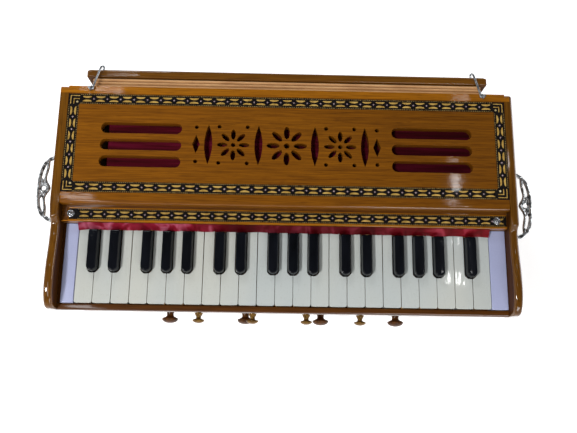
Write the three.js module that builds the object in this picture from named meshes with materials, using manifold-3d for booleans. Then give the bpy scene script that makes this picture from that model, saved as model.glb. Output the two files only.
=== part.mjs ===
// Indian harmonium: a hand-pumped reed organ that stands on the floor or a table.
// Millimetres. +X runs to the player's right, +Y away from the player, +Z up.
// The origin is the centre of the underside of the case.
import * as THREE from 'three';
import { mergeVertices } from 'three/addons/utils/BufferGeometryUtils.js';
import Module from 'manifold-3d';

const wasm = await Module();
wasm.setup();

// Fits that several pieces share
const seatGap = 0.3;
const overrun = 1;
const sink = 0.6;

// Case
const caseWidth = 568;
const caseDepth = 277;
const caseHeight = 190;
const cheekThickness = 10.5;
const baseThickness = 12;
const backThickness = 9.5;
const frontPanelThickness = 9;
const frontRecess = 13;
const cheekCornerRadius = 5;
const armStepSetback = 111;
const armStepRun = 11;
const armDip = 7.5;
const armCrownDrop = 2;
const armCrownSetback = 32;
const armNoseDrop = 17;
const armNoseDepth = 40;
const toeCurve = 15;

const innerHalf = caseWidth / 2 - cheekThickness;
const rearFace = caseDepth / 2;
const noseFace = -rearFace;
const frontFace = noseFace + frontRecess;
const panelInside = frontFace + frontPanelThickness;
const backInside = rearFace - backThickness;

// Front rail
const railThickness = 7.3;
const railHeight = 15;
const railDrop = 2;
const railApronThickness = 3;
const keyboardFloorLap = 1;

// Heights step down from the top of the case: cover, key rail, keys
const coverThickness = 10;
const keyRailDrop = 4;
const keyRailThickness = 8.5;
const keyRailClearance = 3.5;
const coverUnderside = caseHeight - coverThickness;
const keyRailTop = coverUnderside - keyRailDrop;
const keyRailUnderside = keyRailTop - keyRailThickness;
const keyTop = keyRailUnderside - keyRailClearance;

// Keys: the pitch is what the two end blocks leave between the cheeks
const whiteCount = 23;
const boardSideGap = 0.4;
const endBlockSpan = 20.1;
const keyPitch = (2 * (innerHalf - boardSideGap - endBlockSpan)) / whiteCount;
const keyGap = 1;
const keyThickness = 13;
const keyFrontGap = 1.2;
const keyCornerRadius = 2.4;
const keyboardOffset = -0.5;
const balanceSetback = 110;
const keyTailGap = 32;
const tailRelief = 2.5;
const tailReliefStart = 16;
const keyFront = noseFace + railThickness + keyFrontGap;
const keyUnderside = keyTop - keyThickness;
const balanceLine = keyFront + balanceSetback;
const keyTail = backInside - keyTailGap;
const keyboardLeft = keyboardOffset - (whiteCount * keyPitch) / 2;
const keyboardRight = keyboardLeft + whiteCount * keyPitch;
const keysPerOctave = 7;

// Sharps: which white keys of an octave carry one at their right, and how far it is moved, in key pitches
const sharpShiftShares = { 0: -0.09, 1: 0.09, 3: -0.12, 4: 0, 5: 0.12 };
const sharpWidthShare = 0.6136;
const sharpLength = 48;
const sharpSetback = 37.5;
const sharpRise = 11;
const sharpFoot = 0.8;
const sharpNose = 6;
const sharpHeelRadius = 1.6;
const sharpCheekWidth = 1.25;
const sharpLeverSetback = 2;
const notchGap = 0.6;
const sharpLevelShares = [[0, 0], [0.78, 0.06], [0.93, 0.09], [1, 0.155]];
const noseSteps = 4;
const sharpFront = keyFront + sharpSetback;
const sharpWidth = sharpWidthShare * keyPitch;
const sharpLeverWidth = sharpWidth - 2 * sharpCheekWidth;

// Reed board, its wind openings, balance rail and end blocks
const reedBoardThickness = 11;
const palletDepth = 9.7;
const palletOverlap = 4;
const palletInset = 1;
const windWidthShare = 0.29;
const tongueWidthShare = 0.18;
const windLengthBass = 46;
const windLengthTreble = 24;
const windRearMargin = 8;
const tongueThickness = 1.2;
const balanceRailWidth = 6;
const balanceRailFoot = 12;
const endBlockGap = 0.8;
const endBlockDrop = 0.6;
const endBlockRear = 3;
const windWidth = windWidthShare * keyPitch;
const tongueWidth = tongueWidthShare * keyPitch;
const reedBoardTop = keyUnderside - palletDepth - seatGap;
const reedBoardUnderside = reedBoardTop - reedBoardThickness;

// Key rail, which stands behind the sharps
const keyRailFrontGap = 12;
const keyRailWidth = 21;
const keyRailStep = 1.5;
const keyRailLedge = 12;
const keyRailFront = sharpFront + sharpLength + keyRailFrontGap;
const keyRailSeat = keyRailFront + keyRailWidth + keyRailStep;

// Top cover with its slots and fretwork
const coverSideGap = 0.5;
const coverOverhang = 3;
const coverFrontRadius = 5;
const fretPlaceShare = 0.547;
const fretHalfHeightShare = 0.053;
const slotPlaceShare = 0.531;
const slotWidth = 14;
const slotPitch = 21.6;
const slotCount = 3;
const slotFretGap = 13.2;
const slotSideMargin = 43;
const coverHalf = innerHalf - coverSideGap;
const coverFront = keyRailSeat - coverOverhang;
const coverRear = backInside - seatGap;
const fretCentreY = THREE.MathUtils.lerp(coverFront, coverRear, fretPlaceShare);
const slotCentreY = THREE.MathUtils.lerp(coverFront, coverRear, slotPlaceShare);
const fretHalfHeight = fretHalfHeightShare * caseWidth;
const petalCount = 8;
const petalReachShare = 0.56;
const petalHalfLengthShare = 0.28;
const petalHalfWidthShare = 0.125;
const hubShare = 0.12;
const sideRosetteShare = 0.8;
const sideRosettePlaceShare = 2.2;
const leafPlaceShares = [1.16, 3.22];
const leafHalfHeightShare = 0.86;
const leafHalfWidthShare = 0.17;
const lozengePlaceShare = 3.72;
const lozengeHalfWidthShare = 0.16;
const lozengeHalfHeightShare = 0.4;
const dotPlaceShares = [[1.62, 0.78], [2.78, 0.78], [3.72, 0.74]];
const dotRadiusShare = 0.085;
const slotInnerX = (lozengePlaceShare + lozengeHalfWidthShare) * fretHalfHeight + slotFretGap;
const slotLength = coverHalf - slotSideMargin - slotInnerX;
const slotCentreX = slotInnerX + slotLength / 2;

// Ledges and cleats inside the case
const ledgeDepth = 8;
const ledgeHeight = 8;
const cleatSection = 12;

// Grille cloth under the cover
const grilleThickness = 1;
const grilleSideMargin = 12;
const grilleRearMargin = 10;
const grilleFrontGap = 1.5;

// Cloth strip in front of the key rail
const clothThickness = 0.8;
const clothReach = 10.5;
const clothTopDrop = 2.2;
const clothHemRise = 1.9;
const clothWave = 0.45;
const clothFoldPitch = 34;
const clothEndGap = 0.5;
const clothSteps = 48;
const clothRows = 2;

// Stops
const stopRodRadius = 2.5;
const stopHoleGap = 0.4;
const stopCollarGap = 0.4;
const stopRodReach = 42;
const stopValveRadius = 7;
const stopValveThickness = 5;
const stopFacets = 12;
const largeStops = {
  radius: 10.5,
  length: 20.5,
  middle: 0,
  pitchShare: 0.176,
  heightShare: 0.525,
  profileShares: [[0, 0.6], [0.12, 0.64], [0.3, 0.48], [0.5, 0.43], [0.6, 0.62], [0.68, 0.94], [0.74, 1],
    [0.86, 0.9], [0.96, 0.55], [1, 0]],
};
const smallStops = {
  radius: 7.5,
  length: 23.4,
  middle: -5,
  pitchShare: 0.12,
  heightShare: 0.907,
  profileShares: [[0, 0.66], [0.3, 0.72], [0.52, 0.66], [0.62, 0.44], [0.74, 0.42], [0.8, 0.88], [0.85, 1],
    [0.92, 0.86], [0.98, 0.45], [1, 0]],
};
const stopsInRow = 4;

// Reservoir board, under the cleats that carry the reed board
const reservoirThickness = 9;
const reservoirFrontSetback = 68;
const reservoirSideGap = 3;
const reservoirHingeRail = 9;
const cleatTop = reedBoardUnderside - seatGap;
const cleatUnderside = cleatTop - cleatSection;

// Bellows
const boardThickness = 10.4;
const boardSideMargin = 30;
const boardTopDrop = 1.5;
const boardBottom = 16;
const boardWidth = caseWidth - 2 * boardSideMargin;
const boardTop = caseHeight - boardTopDrop;
const boardMoulding = 3.2;
const foldsDepth = 13.4;
const foldCount = 3;
const foldRise = 4;
const foldsSideInset = 7;
const foldsTopInset = 2;
const foldWall = 9;
const intakeWidth = 260;
const intakeHeadroom = 2.7;
const intakeBottom = 46;
const intakeTop = cleatUnderside - reservoirThickness - intakeHeadroom;

// Wire hooks of the bellows
const hookInset = 8;
const hookPlaceSetback = 4;
const hookTurnDegrees = 19;
const hookWireRadius = 0.9;
const hookLength = 34;
const hookTipGap = 1;
const hookRise = 0.8;
const hookPinHalf = 3.2;
const eyeRadius = 2.7;
const eyeWireRadius = 0.8;
const hookKnuckleShare = 1.25;
const hookPlaceX = boardWidth / 2 - hookInset;
const hookPlaceY = rearFace - hookPlaceSetback;
const hookPlaceZ = caseHeight + eyeRadius + eyeWireRadius - sink;
const hookLip = hookPlaceZ - hookWireRadius - hookTipGap - boardTop;
const hookPathShares = [
  [0, 0, 0],
  [0.4, 1, 0],
  [0.8, 0.6, 0],
  [0.93, 0, 0.08],
  [0.99, 0, 0.42],
  [0.98, 0, 1],
];

// Handles
const handleDrop = 66;
const leftHandlePlaceShare = 0.5812;
const rightHandlePlaceShare = 0.5379;
const handleHalfSpan = 43.5;
const handleReach = 33.5;
const handleBowPower = 2.5;
const handleWireRadius = 2;
const handleRibRadius = 1.6;
const handlePinRadius = 1.8;
const handlePinGap = 0.5;
const handleRingRadius = 4.6;
const handleKnuckleShare = 1.1;
const handleCrestShare = 0.6;
const handleRibShares = [
  [0.6, 0.86],
  [0.7, 0.62],
  [0.76, 0.34],
  [0.72, 0.19],
  [handleCrestShare, 0],
  [0.72, -0.19],
  [0.76, -0.34],
  [0.7, -0.62],
  [0.6, -0.86],
];
const earRadius = 4.6;
const earThickness = 3;
const earReach = 6;
const earGap = 0.6;
const handleHeight = caseHeight - handleDrop;

// Finish of each kind of piece
const finish = {
  wood: { color: 0x8c5514, roughness: 0.35, metalness: 0 },
  rawWood: { color: 0xb98a52, roughness: 0.7, metalness: 0 },
  ivory: { color: 0xe3e3dc, roughness: 0.25, metalness: 0 },
  ebony: { color: 0x101216, roughness: 0.15, metalness: 0 },
  brownKnob: { color: 0x50321e, roughness: 0.35, metalness: 0 },
  brass: { color: 0x8a6b30, roughness: 0.3, metalness: 1 },
  chrome: { color: 0xd0d2d4, roughness: 0.15, metalness: 1 },
  satin: { color: 0x96283c, roughness: 0.5, metalness: 0 },
  grille: { color: 0x5a1423, roughness: 0.9, metalness: 0 },
  leather: { color: 0x8a4a30, roughness: 0.7, metalness: 0 },
};

// Solids: closed meshes joined and cut

function toSolid(geometry) {
  const bare = geometry.index ? geometry.toNonIndexed() : geometry.clone();
  bare.deleteAttribute('normal');
  bare.deleteAttribute('uv');
  const merged = mergeVertices(bare);
  const vertProperties = new Float32Array(merged.attributes.position.array);
  const triVerts = new Uint32Array(merged.index.array);
  const solid = new wasm.Manifold(new wasm.Mesh({ numProp: 3, vertProperties, triVerts }));
  if (solid.volume() > 0) {
    return solid;
  }
  const flipped = new Uint32Array(triVerts.length);
  for (let i = 0; i < triVerts.length; i += 3) {
    flipped.set([triVerts[i], triVerts[i + 2], triVerts[i + 1]], i);
  }
  return new wasm.Manifold(new wasm.Mesh({ numProp: 3, vertProperties, triVerts: flipped }));
}

function toGeometry(solid) {
  const mesh = solid.getMesh();
  const geometry = new THREE.BufferGeometry();
  geometry.setAttribute('position', new THREE.BufferAttribute(new Float32Array(mesh.vertProperties), 3));
  geometry.setIndex(new THREE.BufferAttribute(new Uint32Array(mesh.triVerts), 1));
  geometry.computeVertexNormals();
  return geometry;
}

function join(geometries) {
  return geometries.map(toSolid).reduce((whole, next) => whole.add(next));
}

function cut(solid, geometries) {
  return solid.subtract(join(geometries));
}

// A box between two corners
function box(low, high) {
  const size = new THREE.Vector3(...high).sub(new THREE.Vector3(...low));
  const centre = new THREE.Vector3(...high).add(new THREE.Vector3(...low)).multiplyScalar(1 / 2);
  return new THREE.BoxGeometry(size.x, size.y, size.z).translate(centre.x, centre.y, centre.z);
}

// An outline drawn in Y and Z, run along X
function alongX(outline, fromX, toX, curveSegments) {
  const options = { depth: toX - fromX, bevelEnabled: false, curveSegments };
  const geometry = new THREE.ExtrudeGeometry(outline, options);
  const basis = new THREE.Matrix4().makeBasis(
    new THREE.Vector3(0, 1, 0),
    new THREE.Vector3(0, 0, 1),
    new THREE.Vector3(1, 0, 0),
  );
  return geometry.applyMatrix4(basis).translate(fromX, 0, 0);
}

// An outline drawn in X and Z, run along Y
function alongY(outline, fromY, toY, curveSegments) {
  const options = { depth: toY - fromY, bevelEnabled: false, curveSegments };
  const geometry = new THREE.ExtrudeGeometry(outline, options);
  return geometry.rotateX(Math.PI / 2).translate(0, toY, 0);
}

// An outline drawn in X and Y, run along Z
function alongZ(outline, fromZ, toZ, curveSegments) {
  const options = { depth: toZ - fromZ, bevelEnabled: false, curveSegments };
  const geometry = new THREE.ExtrudeGeometry(outline, options);
  return geometry.translate(0, 0, fromZ);
}

// A round bar along a curve
function wire(curve, radius, steps, sides) {
  const section = new THREE.Shape();
  for (let i = 0; i < sides; i += 1) {
    const angle = (i * 2 * Math.PI) / sides;
    const x = radius * Math.cos(angle);
    const y = radius * Math.sin(angle);
    if (i === 0) {
      section.moveTo(x, y);
    } else {
      section.lineTo(x, y);
    }
  }
  section.closePath();
  return new THREE.ExtrudeGeometry(section, { steps, extrudePath: curve, bevelEnabled: false });
}

// A closed skin over rings that all have the same number of points
function loft(rings) {
  const perRing = rings[0].length;
  const positions = rings.flat(2);
  const index = [];
  for (let ring = 0; ring < rings.length - 1; ring += 1) {
    for (let i = 0; i < perRing; i += 1) {
      const a = ring * perRing + i;
      const b = ring * perRing + ((i + 1) % perRing);
      index.push(a, b, a + perRing, b, b + perRing, a + perRing);
    }
  }
  const last = (rings.length - 1) * perRing;
  for (let i = 1; i < perRing - 1; i += 1) {
    index.push(0, i + 1, i);
    index.push(last, last + i, last + i + 1);
  }
  const geometry = new THREE.BufferGeometry();
  geometry.setAttribute('position', new THREE.BufferAttribute(new Float32Array(positions), 3));
  geometry.setIndex(index);
  return geometry;
}

// Assembly
const harmonium = new THREE.Group();

function addPiece(name, solid, look) {
  const mesh = new THREE.Mesh(toGeometry(solid), new THREE.MeshStandardMaterial(look));
  mesh.name = name;
  harmonium.add(mesh);
  return mesh;
}

// Case

function cheekOutline() {
  const stepRear = noseFace + armStepSetback;
  const stepFront = stepRear - armStepRun;
  const crown = noseFace + armCrownSetback;
  const noseTop = caseHeight - armNoseDrop;
  const toeUnderside = noseTop - armNoseDepth;
  const outline = new THREE.Shape();
  outline.moveTo(frontFace, 0);
  outline.lineTo(rearFace, 0);
  outline.lineTo(rearFace, caseHeight - cheekCornerRadius);
  outline.quadraticCurveTo(rearFace, caseHeight, rearFace - cheekCornerRadius, caseHeight);
  outline.lineTo(stepRear, caseHeight);
  outline.bezierCurveTo(
    stepRear - armStepRun / 2,
    caseHeight,
    stepRear - armStepRun / 2,
    caseHeight - armDip,
    stepFront,
    caseHeight - armDip,
  );
  outline.bezierCurveTo(
    (stepFront + crown) / 2,
    caseHeight - armDip,
    (stepFront + crown) / 2,
    caseHeight - armCrownDrop,
    crown,
    caseHeight - armCrownDrop,
  );
  outline.bezierCurveTo(
    (crown + noseFace) / 2,
    caseHeight - armCrownDrop,
    noseFace,
    (noseTop + caseHeight) / 2,
    noseFace,
    noseTop,
  );
  outline.lineTo(noseFace, toeUnderside + toeCurve);
  outline.bezierCurveTo(
    noseFace,
    toeUnderside + toeCurve / 2,
    frontFace,
    toeUnderside + toeCurve / 2,
    frontFace,
    toeUnderside,
  );
  outline.closePath();
  return outline;
}

function frontRailOutline() {
  const top = keyTop - railDrop;
  const bottom = top - railHeight;
  const inside = noseFace + railThickness;
  const noseRadius = railThickness / 2;
  const apronBottom = reedBoardUnderside - keyboardFloorLap;
  const outline = new THREE.Shape();
  outline.moveTo(inside - railApronThickness, apronBottom);
  outline.lineTo(inside, apronBottom);
  outline.lineTo(inside, top);
  outline.lineTo(noseFace + noseRadius, top);
  outline.quadraticCurveTo(noseFace, top, noseFace, top - noseRadius);
  outline.lineTo(noseFace, bottom + noseRadius);
  outline.quadraticCurveTo(noseFace, bottom, noseFace + noseRadius, bottom);
  outline.lineTo(inside - railApronThickness, bottom);
  outline.closePath();
  return outline;
}

function stopPlaces(row) {
  const places = [];
  for (let i = 0; i < stopsInRow; i += 1) {
    places.push(row.middle + (i - (stopsInRow - 1) / 2) * row.pitchShare * caseWidth);
  }
  return places;
}

// How high a row of stops stands on the front panel
function stopHeight(row) {
  return THREE.MathUtils.lerp(baseThickness, reedBoardUnderside, row.heightShare);
}

// The middle of a handle, along the case
function handleCentreY(side) {
  return noseFace + (side < 0 ? leftHandlePlaceShare : rightHandlePlaceShare) * caseDepth;
}

function stopHoles(row) {
  const holeRadius = stopRodRadius + stopHoleGap;
  return stopPlaces(row).map((x) => {
    const length = frontPanelThickness + 2 * overrun;
    const hole = new THREE.CylinderGeometry(holeRadius, holeRadius, length, stopFacets);
    return hole.translate(x, frontFace + frontPanelThickness / 2, stopHeight(row));
  });
}

// An ear that carries one end of a bail handle
function handleEar(side, centreY, end) {
  const cheekFace = caseWidth / 2;
  const pinX = cheekFace + earReach;
  const outline = new THREE.Shape();
  outline.moveTo(cheekFace - sink, handleHeight - earRadius);
  outline.lineTo(pinX, handleHeight - earRadius);
  outline.absarc(pinX, handleHeight, earRadius, -Math.PI / 2, Math.PI / 2, false);
  outline.lineTo(cheekFace - sink, handleHeight + earRadius);
  outline.closePath();
  const hole = new THREE.Path();
  hole.absarc(pinX, handleHeight, handlePinRadius + handlePinGap, 0, 2 * Math.PI, true);
  outline.holes.push(hole);
  const inner = handleHalfSpan + handleWireRadius + earGap;
  const fromY = centreY + end * (inner + earThickness / 2) - earThickness / 2;
  const ear = alongY(outline, fromY, fromY + earThickness, 4);
  return side > 0 ? ear : ear.rotateZ(Math.PI).translate(0, 2 * centreY, 0);
}

// The ring of a screw eye; its hole lies along the hook's hinge line
function hookEye(side) {
  const ring = new THREE.TorusGeometry(eyeRadius, eyeWireRadius, 5, 10);
  ring.rotateY(Math.PI / 2);
  ring.rotateZ(side * THREE.MathUtils.degToRad(hookTurnDegrees));
  return ring.translate(side * hookPlaceX, hookPlaceY, hookPlaceZ);
}

function buildCase() {
  const cheek = cheekOutline();
  const half = caseWidth / 2;
  const reach = innerHalf + sink;
  const rail = frontRailOutline();
  const parts = [
    alongX(cheek, -half, -innerHalf, 7),
    alongX(cheek, innerHalf, half, 7),
    box([-reach, frontFace, 0], [reach, rearFace, baseThickness]),
    box([-reach, backInside, baseThickness - sink], [reach, rearFace, caseHeight]),
    box([-reach, frontFace, baseThickness - sink], [reach, panelInside, cleatTop]),
    alongX(rail, -reach, reach, 4),
    box(
      [-reach, backInside - ledgeDepth, coverUnderside - seatGap - ledgeHeight],
      [reach, backInside + sink, coverUnderside - seatGap],
    ),
    box(
      [-reach, backInside - reservoirHingeRail, cleatUnderside - reservoirThickness],
      [reach, backInside + sink, cleatUnderside],
    ),
  ];
  for (const side of [-1, 1]) {
    const cheekSide = side * reach;
    const cleatSide = side * (innerHalf - cleatSection);
    parts.push(box(
      [Math.min(cheekSide, cleatSide), panelInside - sink, cleatUnderside],
      [Math.max(cheekSide, cleatSide), backInside + sink, cleatTop],
    ));
    const centreY = handleCentreY(side);
    parts.push(handleEar(side, centreY, -1), handleEar(side, centreY, 1), hookEye(side));
  }
  const intake = box(
    [-intakeWidth / 2, backInside - overrun, intakeBottom],
    [intakeWidth / 2, rearFace + overrun, intakeTop],
  );
  return cut(join(parts), [...stopHoles(largeStops), ...stopHoles(smallStops), intake]);
}

addPiece('case', buildCase(), finish.wood);

// Keys

function sharpCentre(whiteIndex) {
  const share = sharpShiftShares[whiteIndex % keysPerOctave];
  const hasSharp = share !== undefined && whiteIndex >= 0 && whiteIndex < whiteCount - 1;
  return hasSharp ? keyboardLeft + (whiteIndex + 1 + share) * keyPitch : undefined;
}

// The span in X that each lever has behind the sharps' fronts
function whiteTail(whiteIndex) {
  const left = keyboardLeft + whiteIndex * keyPitch + keyGap / 2;
  const right = left + keyPitch - keyGap;
  const sharpAtLeft = sharpCentre(whiteIndex - 1);
  const sharpAtRight = sharpCentre(whiteIndex);
  const reach = sharpWidth / 2 + notchGap;
  return {
    left,
    right,
    tailLeft: sharpAtLeft === undefined ? left : sharpAtLeft + reach,
    tailRight: sharpAtRight === undefined ? right : sharpAtRight - reach,
  };
}

const levers = [];
for (let i = 0; i < whiteCount; i += 1) {
  const span = whiteTail(i);
  levers.push({ kind: 'white', ...span, middle: (span.tailLeft + span.tailRight) / 2 });
  const centre = sharpCentre(i);
  if (centre !== undefined) {
    levers.push({ kind: 'black', middle: centre });
  }
}
levers.forEach((lever, i) => {
  const treble = i / (levers.length - 1);
  lever.windLength = THREE.MathUtils.lerp(windLengthBass, windLengthTreble, treble);
});
const windRear = keyTail - windRearMargin;

// The leather-faced pallet under a lever's tail
function pallet(lever) {
  const half = windWidth / 2 + palletInset;
  return box(
    [lever.middle - half, windRear - lever.windLength - palletOverlap, reedBoardTop + seatGap],
    [lever.middle + half, windRear + palletOverlap, keyUnderside + sink],
  );
}

// What is planed off a lever's top behind the key rail
function tailCutter(low, high) {
  return box(
    [low - overrun, balanceLine + tailReliefStart, keyTop - tailRelief],
    [high + overrun, keyTail + overrun, keyTop + overrun],
  );
}

function whiteKey(lever) {
  const notch = sharpFront - notchGap;
  const { left, right, tailLeft, tailRight } = lever;
  const r = keyCornerRadius;
  const outline = new THREE.Shape();
  outline.moveTo(left + r, keyFront);
  outline.lineTo(right - r, keyFront);
  outline.quadraticCurveTo(right, keyFront, right, keyFront + r);
  if (tailRight < right) {
    outline.lineTo(right, notch);
    outline.lineTo(tailRight, notch);
  }
  outline.lineTo(tailRight, keyTail);
  outline.lineTo(tailLeft, keyTail);
  if (tailLeft > left) {
    outline.lineTo(tailLeft, notch);
    outline.lineTo(left, notch);
  }
  outline.lineTo(left, keyFront + r);
  outline.quadraticCurveTo(left, keyFront, left + r, keyFront);
  const body = join([alongZ(outline, keyUnderside, keyTop, 3), pallet(lever)]);
  return cut(body, [tailCutter(left, right)]);
}

// A sharp's outline at one level of its raised head
function sharpRing(centre, inset, z) {
  const half = sharpWidth / 2 - inset;
  const front = sharpFront + inset;
  const rear = sharpFront + sharpLength - inset;
  const ring = [];
  for (let i = 0; i <= noseSteps; i += 1) {
    const angle = (i * Math.PI) / noseSteps;
    ring.push([centre - half * Math.cos(angle), front + sharpNose * (1 - Math.sin(angle)), z]);
  }
  ring.push([centre + half, rear - sharpHeelRadius, z]);
  ring.push([centre + half - sharpHeelRadius, rear, z]);
  ring.push([centre - half + sharpHeelRadius, rear, z]);
  ring.push([centre - half, rear - sharpHeelRadius, z]);
  return ring;
}

function blackKey(lever) {
  const foot = keyTop - sharpFoot;
  const height = sharpRise + sharpFoot;
  const head = loft(sharpLevelShares.map(([levelShare, insetShare]) => (
    sharpRing(lever.middle, insetShare * sharpWidth, foot + levelShare * height)
  )));
  const half = sharpLeverWidth / 2;
  const body = box(
    [lever.middle - half, sharpFront + sharpLeverSetback, keyUnderside],
    [lever.middle + half, keyTail, foot + sink],
  );
  return cut(join([head, body, pallet(lever)]), [tailCutter(lever.middle - half, lever.middle + half)]);
}

const keyNumbers = { white: 0, black: 0 };
for (const lever of levers) {
  keyNumbers[lever.kind] += 1;
  const name = `${lever.kind}_key_${String(keyNumbers[lever.kind]).padStart(2, '0')}`;
  if (lever.kind === 'white') {
    addPiece(name, whiteKey(lever), finish.ivory);
  } else {
    addPiece(name, blackKey(lever), finish.ebony);
  }
}

// Reed board with its wind openings, reed tongues, balance rail and end blocks

function balanceRailOutline() {
  const outline = new THREE.Shape();
  outline.moveTo(balanceLine - balanceRailFoot / 2, reedBoardTop - sink);
  outline.lineTo(balanceLine + balanceRailFoot / 2, reedBoardTop - sink);
  outline.lineTo(balanceLine + balanceRailWidth / 2, keyUnderside - seatGap);
  outline.lineTo(balanceLine - balanceRailWidth / 2, keyUnderside - seatGap);
  outline.closePath();
  return outline;
}

function endBlockOutline() {
  const top = keyTop - endBlockDrop;
  const outline = new THREE.Shape();
  outline.moveTo(keyFront, reedBoardTop - sink);
  outline.lineTo(keyRailSeat + endBlockRear, reedBoardTop - sink);
  outline.lineTo(keyRailSeat + endBlockRear, keyRailUnderside - seatGap);
  outline.lineTo(keyRailFront, keyRailUnderside - seatGap);
  outline.lineTo(keyRailFront, top);
  outline.lineTo(keyFront, top);
  outline.closePath();
  return outline;
}

function buildReedBoard() {
  const half = innerHalf - boardSideGap;
  const board = join([
    box([-half, keyFront, reedBoardUnderside], [half, backInside - seatGap, reedBoardTop]),
    alongX(balanceRailOutline(), keyboardLeft, keyboardRight, 1),
    alongX(endBlockOutline(), -half, keyboardLeft - endBlockGap, 1),
    alongX(endBlockOutline(), keyboardRight + endBlockGap, half, 1),
  ]);
  const openings = levers.map((lever) => box(
    [lever.middle - windWidth / 2, windRear - lever.windLength, reedBoardUnderside - overrun],
    [lever.middle + windWidth / 2, windRear, reedBoardTop + overrun],
  ));
  const tongueUnderside = reedBoardUnderside - tongueThickness;
  const tongues = levers.map((lever) => box(
    [lever.middle - tongueWidth / 2, windRear - lever.windLength - palletOverlap, tongueUnderside],
    [lever.middle + tongueWidth / 2, windRear + palletOverlap, reedBoardUnderside + sink],
  ));
  return cut(board, openings).add(join(tongues));
}

addPiece('reed_board', buildReedBoard(), finish.rawWood);

// Key rail

function keyRailOutline() {
  const front = keyRailFront;
  const rear = keyRailSeat + keyRailLedge;
  const seatTop = coverUnderside - seatGap;
  const outline = new THREE.Shape();
  outline.moveTo(front, keyRailUnderside);
  outline.lineTo(rear, keyRailUnderside);
  outline.lineTo(rear, seatTop);
  outline.lineTo(keyRailSeat, seatTop);
  outline.lineTo(keyRailSeat - keyRailStep, keyRailTop);
  outline.lineTo(front + keyRailStep / 2, keyRailTop);
  outline.lineTo(front, keyRailTop - keyRailStep / 2);
  outline.closePath();
  return outline;
}

addPiece('key_rail', toSolid(alongX(keyRailOutline(), -coverHalf, coverHalf, 1)), finish.wood);

// Cloth strip that hangs from the front of the key rail onto the keys

function buildKeyCloth() {
  const top = { y: keyRailFront - seatGap, z: keyRailTop - clothTopDrop };
  const hem = { y: keyRailFront - clothReach, z: keyTop + clothHemRise };
  const slope = new THREE.Vector2(hem.y - top.y, hem.z - top.z).normalize();
  const outward = new THREE.Vector2(slope.y, -slope.x);
  const clothLeft = keyboardLeft + clothEndGap;
  const clothRight = keyboardRight - clothEndGap;
  const rings = [];
  for (let step = 0; step <= clothSteps; step += 1) {
    const x = THREE.MathUtils.lerp(clothLeft, clothRight, step / clothSteps);
    const turn = x / clothFoldPitch;
    const wave = clothWave * (1 + Math.sin(2 * Math.PI * turn) * Math.cos(turn));
    const face = [];
    for (let row = 0; row <= clothRows; row += 1) {
      const share = row / clothRows;
      face.push(new THREE.Vector2(
        THREE.MathUtils.lerp(top.y, hem.y, share) + outward.x * wave * share,
        THREE.MathUtils.lerp(top.z, hem.z, share) + outward.y * wave * share,
      ));
    }
    const back = face.map((p) => p.clone().addScaledVector(outward, clothThickness)).reverse();
    rings.push([...face, ...back].map((p) => [x, p.x, p.y]));
  }
  return toSolid(loft(rings));
}

addPiece('key_cloth', buildKeyCloth(), finish.satin);

// Top cover: a board with a rounded front edge, three slots at each side and fretwork between them

function slotPath(centreX, centreY) {
  const straight = (slotLength - slotWidth) / 2;
  const radius = slotWidth / 2;
  const path = new THREE.Path();
  path.absarc(centreX + straight, centreY, radius, Math.PI / 2, -Math.PI / 2, true);
  path.absarc(centreX - straight, centreY, radius, -Math.PI / 2, -1.5 * Math.PI, true);
  path.closePath();
  return path;
}

function petalPath(centreX, centreY, halfLength, halfWidth, angle) {
  const path = new THREE.Path();
  path.absellipse(centreX, centreY, halfLength, halfWidth, 0, 2 * Math.PI, true, angle);
  return path;
}

// A pointed oval made of two arcs
function leafPath(centreX, centreY, halfWidth, halfHeight) {
  const path = new THREE.Path();
  path.moveTo(centreX, centreY - halfHeight);
  path.quadraticCurveTo(centreX - 2 * halfWidth, centreY, centreX, centreY + halfHeight);
  path.quadraticCurveTo(centreX + 2 * halfWidth, centreY, centreX, centreY - halfHeight);
  return path;
}

function lozengePath(centreX, centreY, halfWidth, halfHeight) {
  const path = new THREE.Path();
  path.moveTo(centreX, centreY - halfHeight);
  path.lineTo(centreX - halfWidth, centreY);
  path.lineTo(centreX, centreY + halfHeight);
  path.lineTo(centreX + halfWidth, centreY);
  path.closePath();
  return path;
}

function rosettePaths(centreX, centreY, size) {
  const paths = [petalPath(centreX, centreY, hubShare * size, hubShare * size, 0)];
  for (let i = 0; i < petalCount; i += 1) {
    const angle = (i * 2 * Math.PI) / petalCount;
    const reach = petalReachShare * size;
    paths.push(petalPath(
      centreX + reach * Math.cos(angle),
      centreY + reach * Math.sin(angle),
      petalHalfLengthShare * size,
      petalHalfWidthShare * size,
      angle,
    ));
  }
  return paths;
}

function fretPaths() {
  const h = fretHalfHeight;
  const y = fretCentreY;
  const paths = rosettePaths(0, y, h);
  for (const side of [-1, 1]) {
    paths.push(...rosettePaths(side * sideRosettePlaceShare * h, y, sideRosetteShare * h));
    for (const place of leafPlaceShares) {
      paths.push(leafPath(side * place * h, y, leafHalfWidthShare * h, leafHalfHeightShare * h));
    }
    const lozengeX = side * lozengePlaceShare * h;
    paths.push(lozengePath(lozengeX, y, lozengeHalfWidthShare * h, lozengeHalfHeightShare * h));
    for (const [placeX, placeY] of dotPlaceShares) {
      for (const row of [-1, 1]) {
        const radius = dotRadiusShare * h;
        paths.push(petalPath(side * placeX * h, y + row * placeY * h, radius, radius, 0));
      }
    }
  }
  return paths;
}

function coverProfile() {
  const outline = new THREE.Shape();
  outline.moveTo(coverFront, coverUnderside);
  outline.lineTo(coverRear, coverUnderside);
  outline.lineTo(coverRear, caseHeight);
  outline.lineTo(coverFront + coverFrontRadius, caseHeight);
  outline.quadraticCurveTo(coverFront, caseHeight, coverFront, caseHeight - coverFrontRadius);
  outline.closePath();
  return outline;
}

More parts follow.
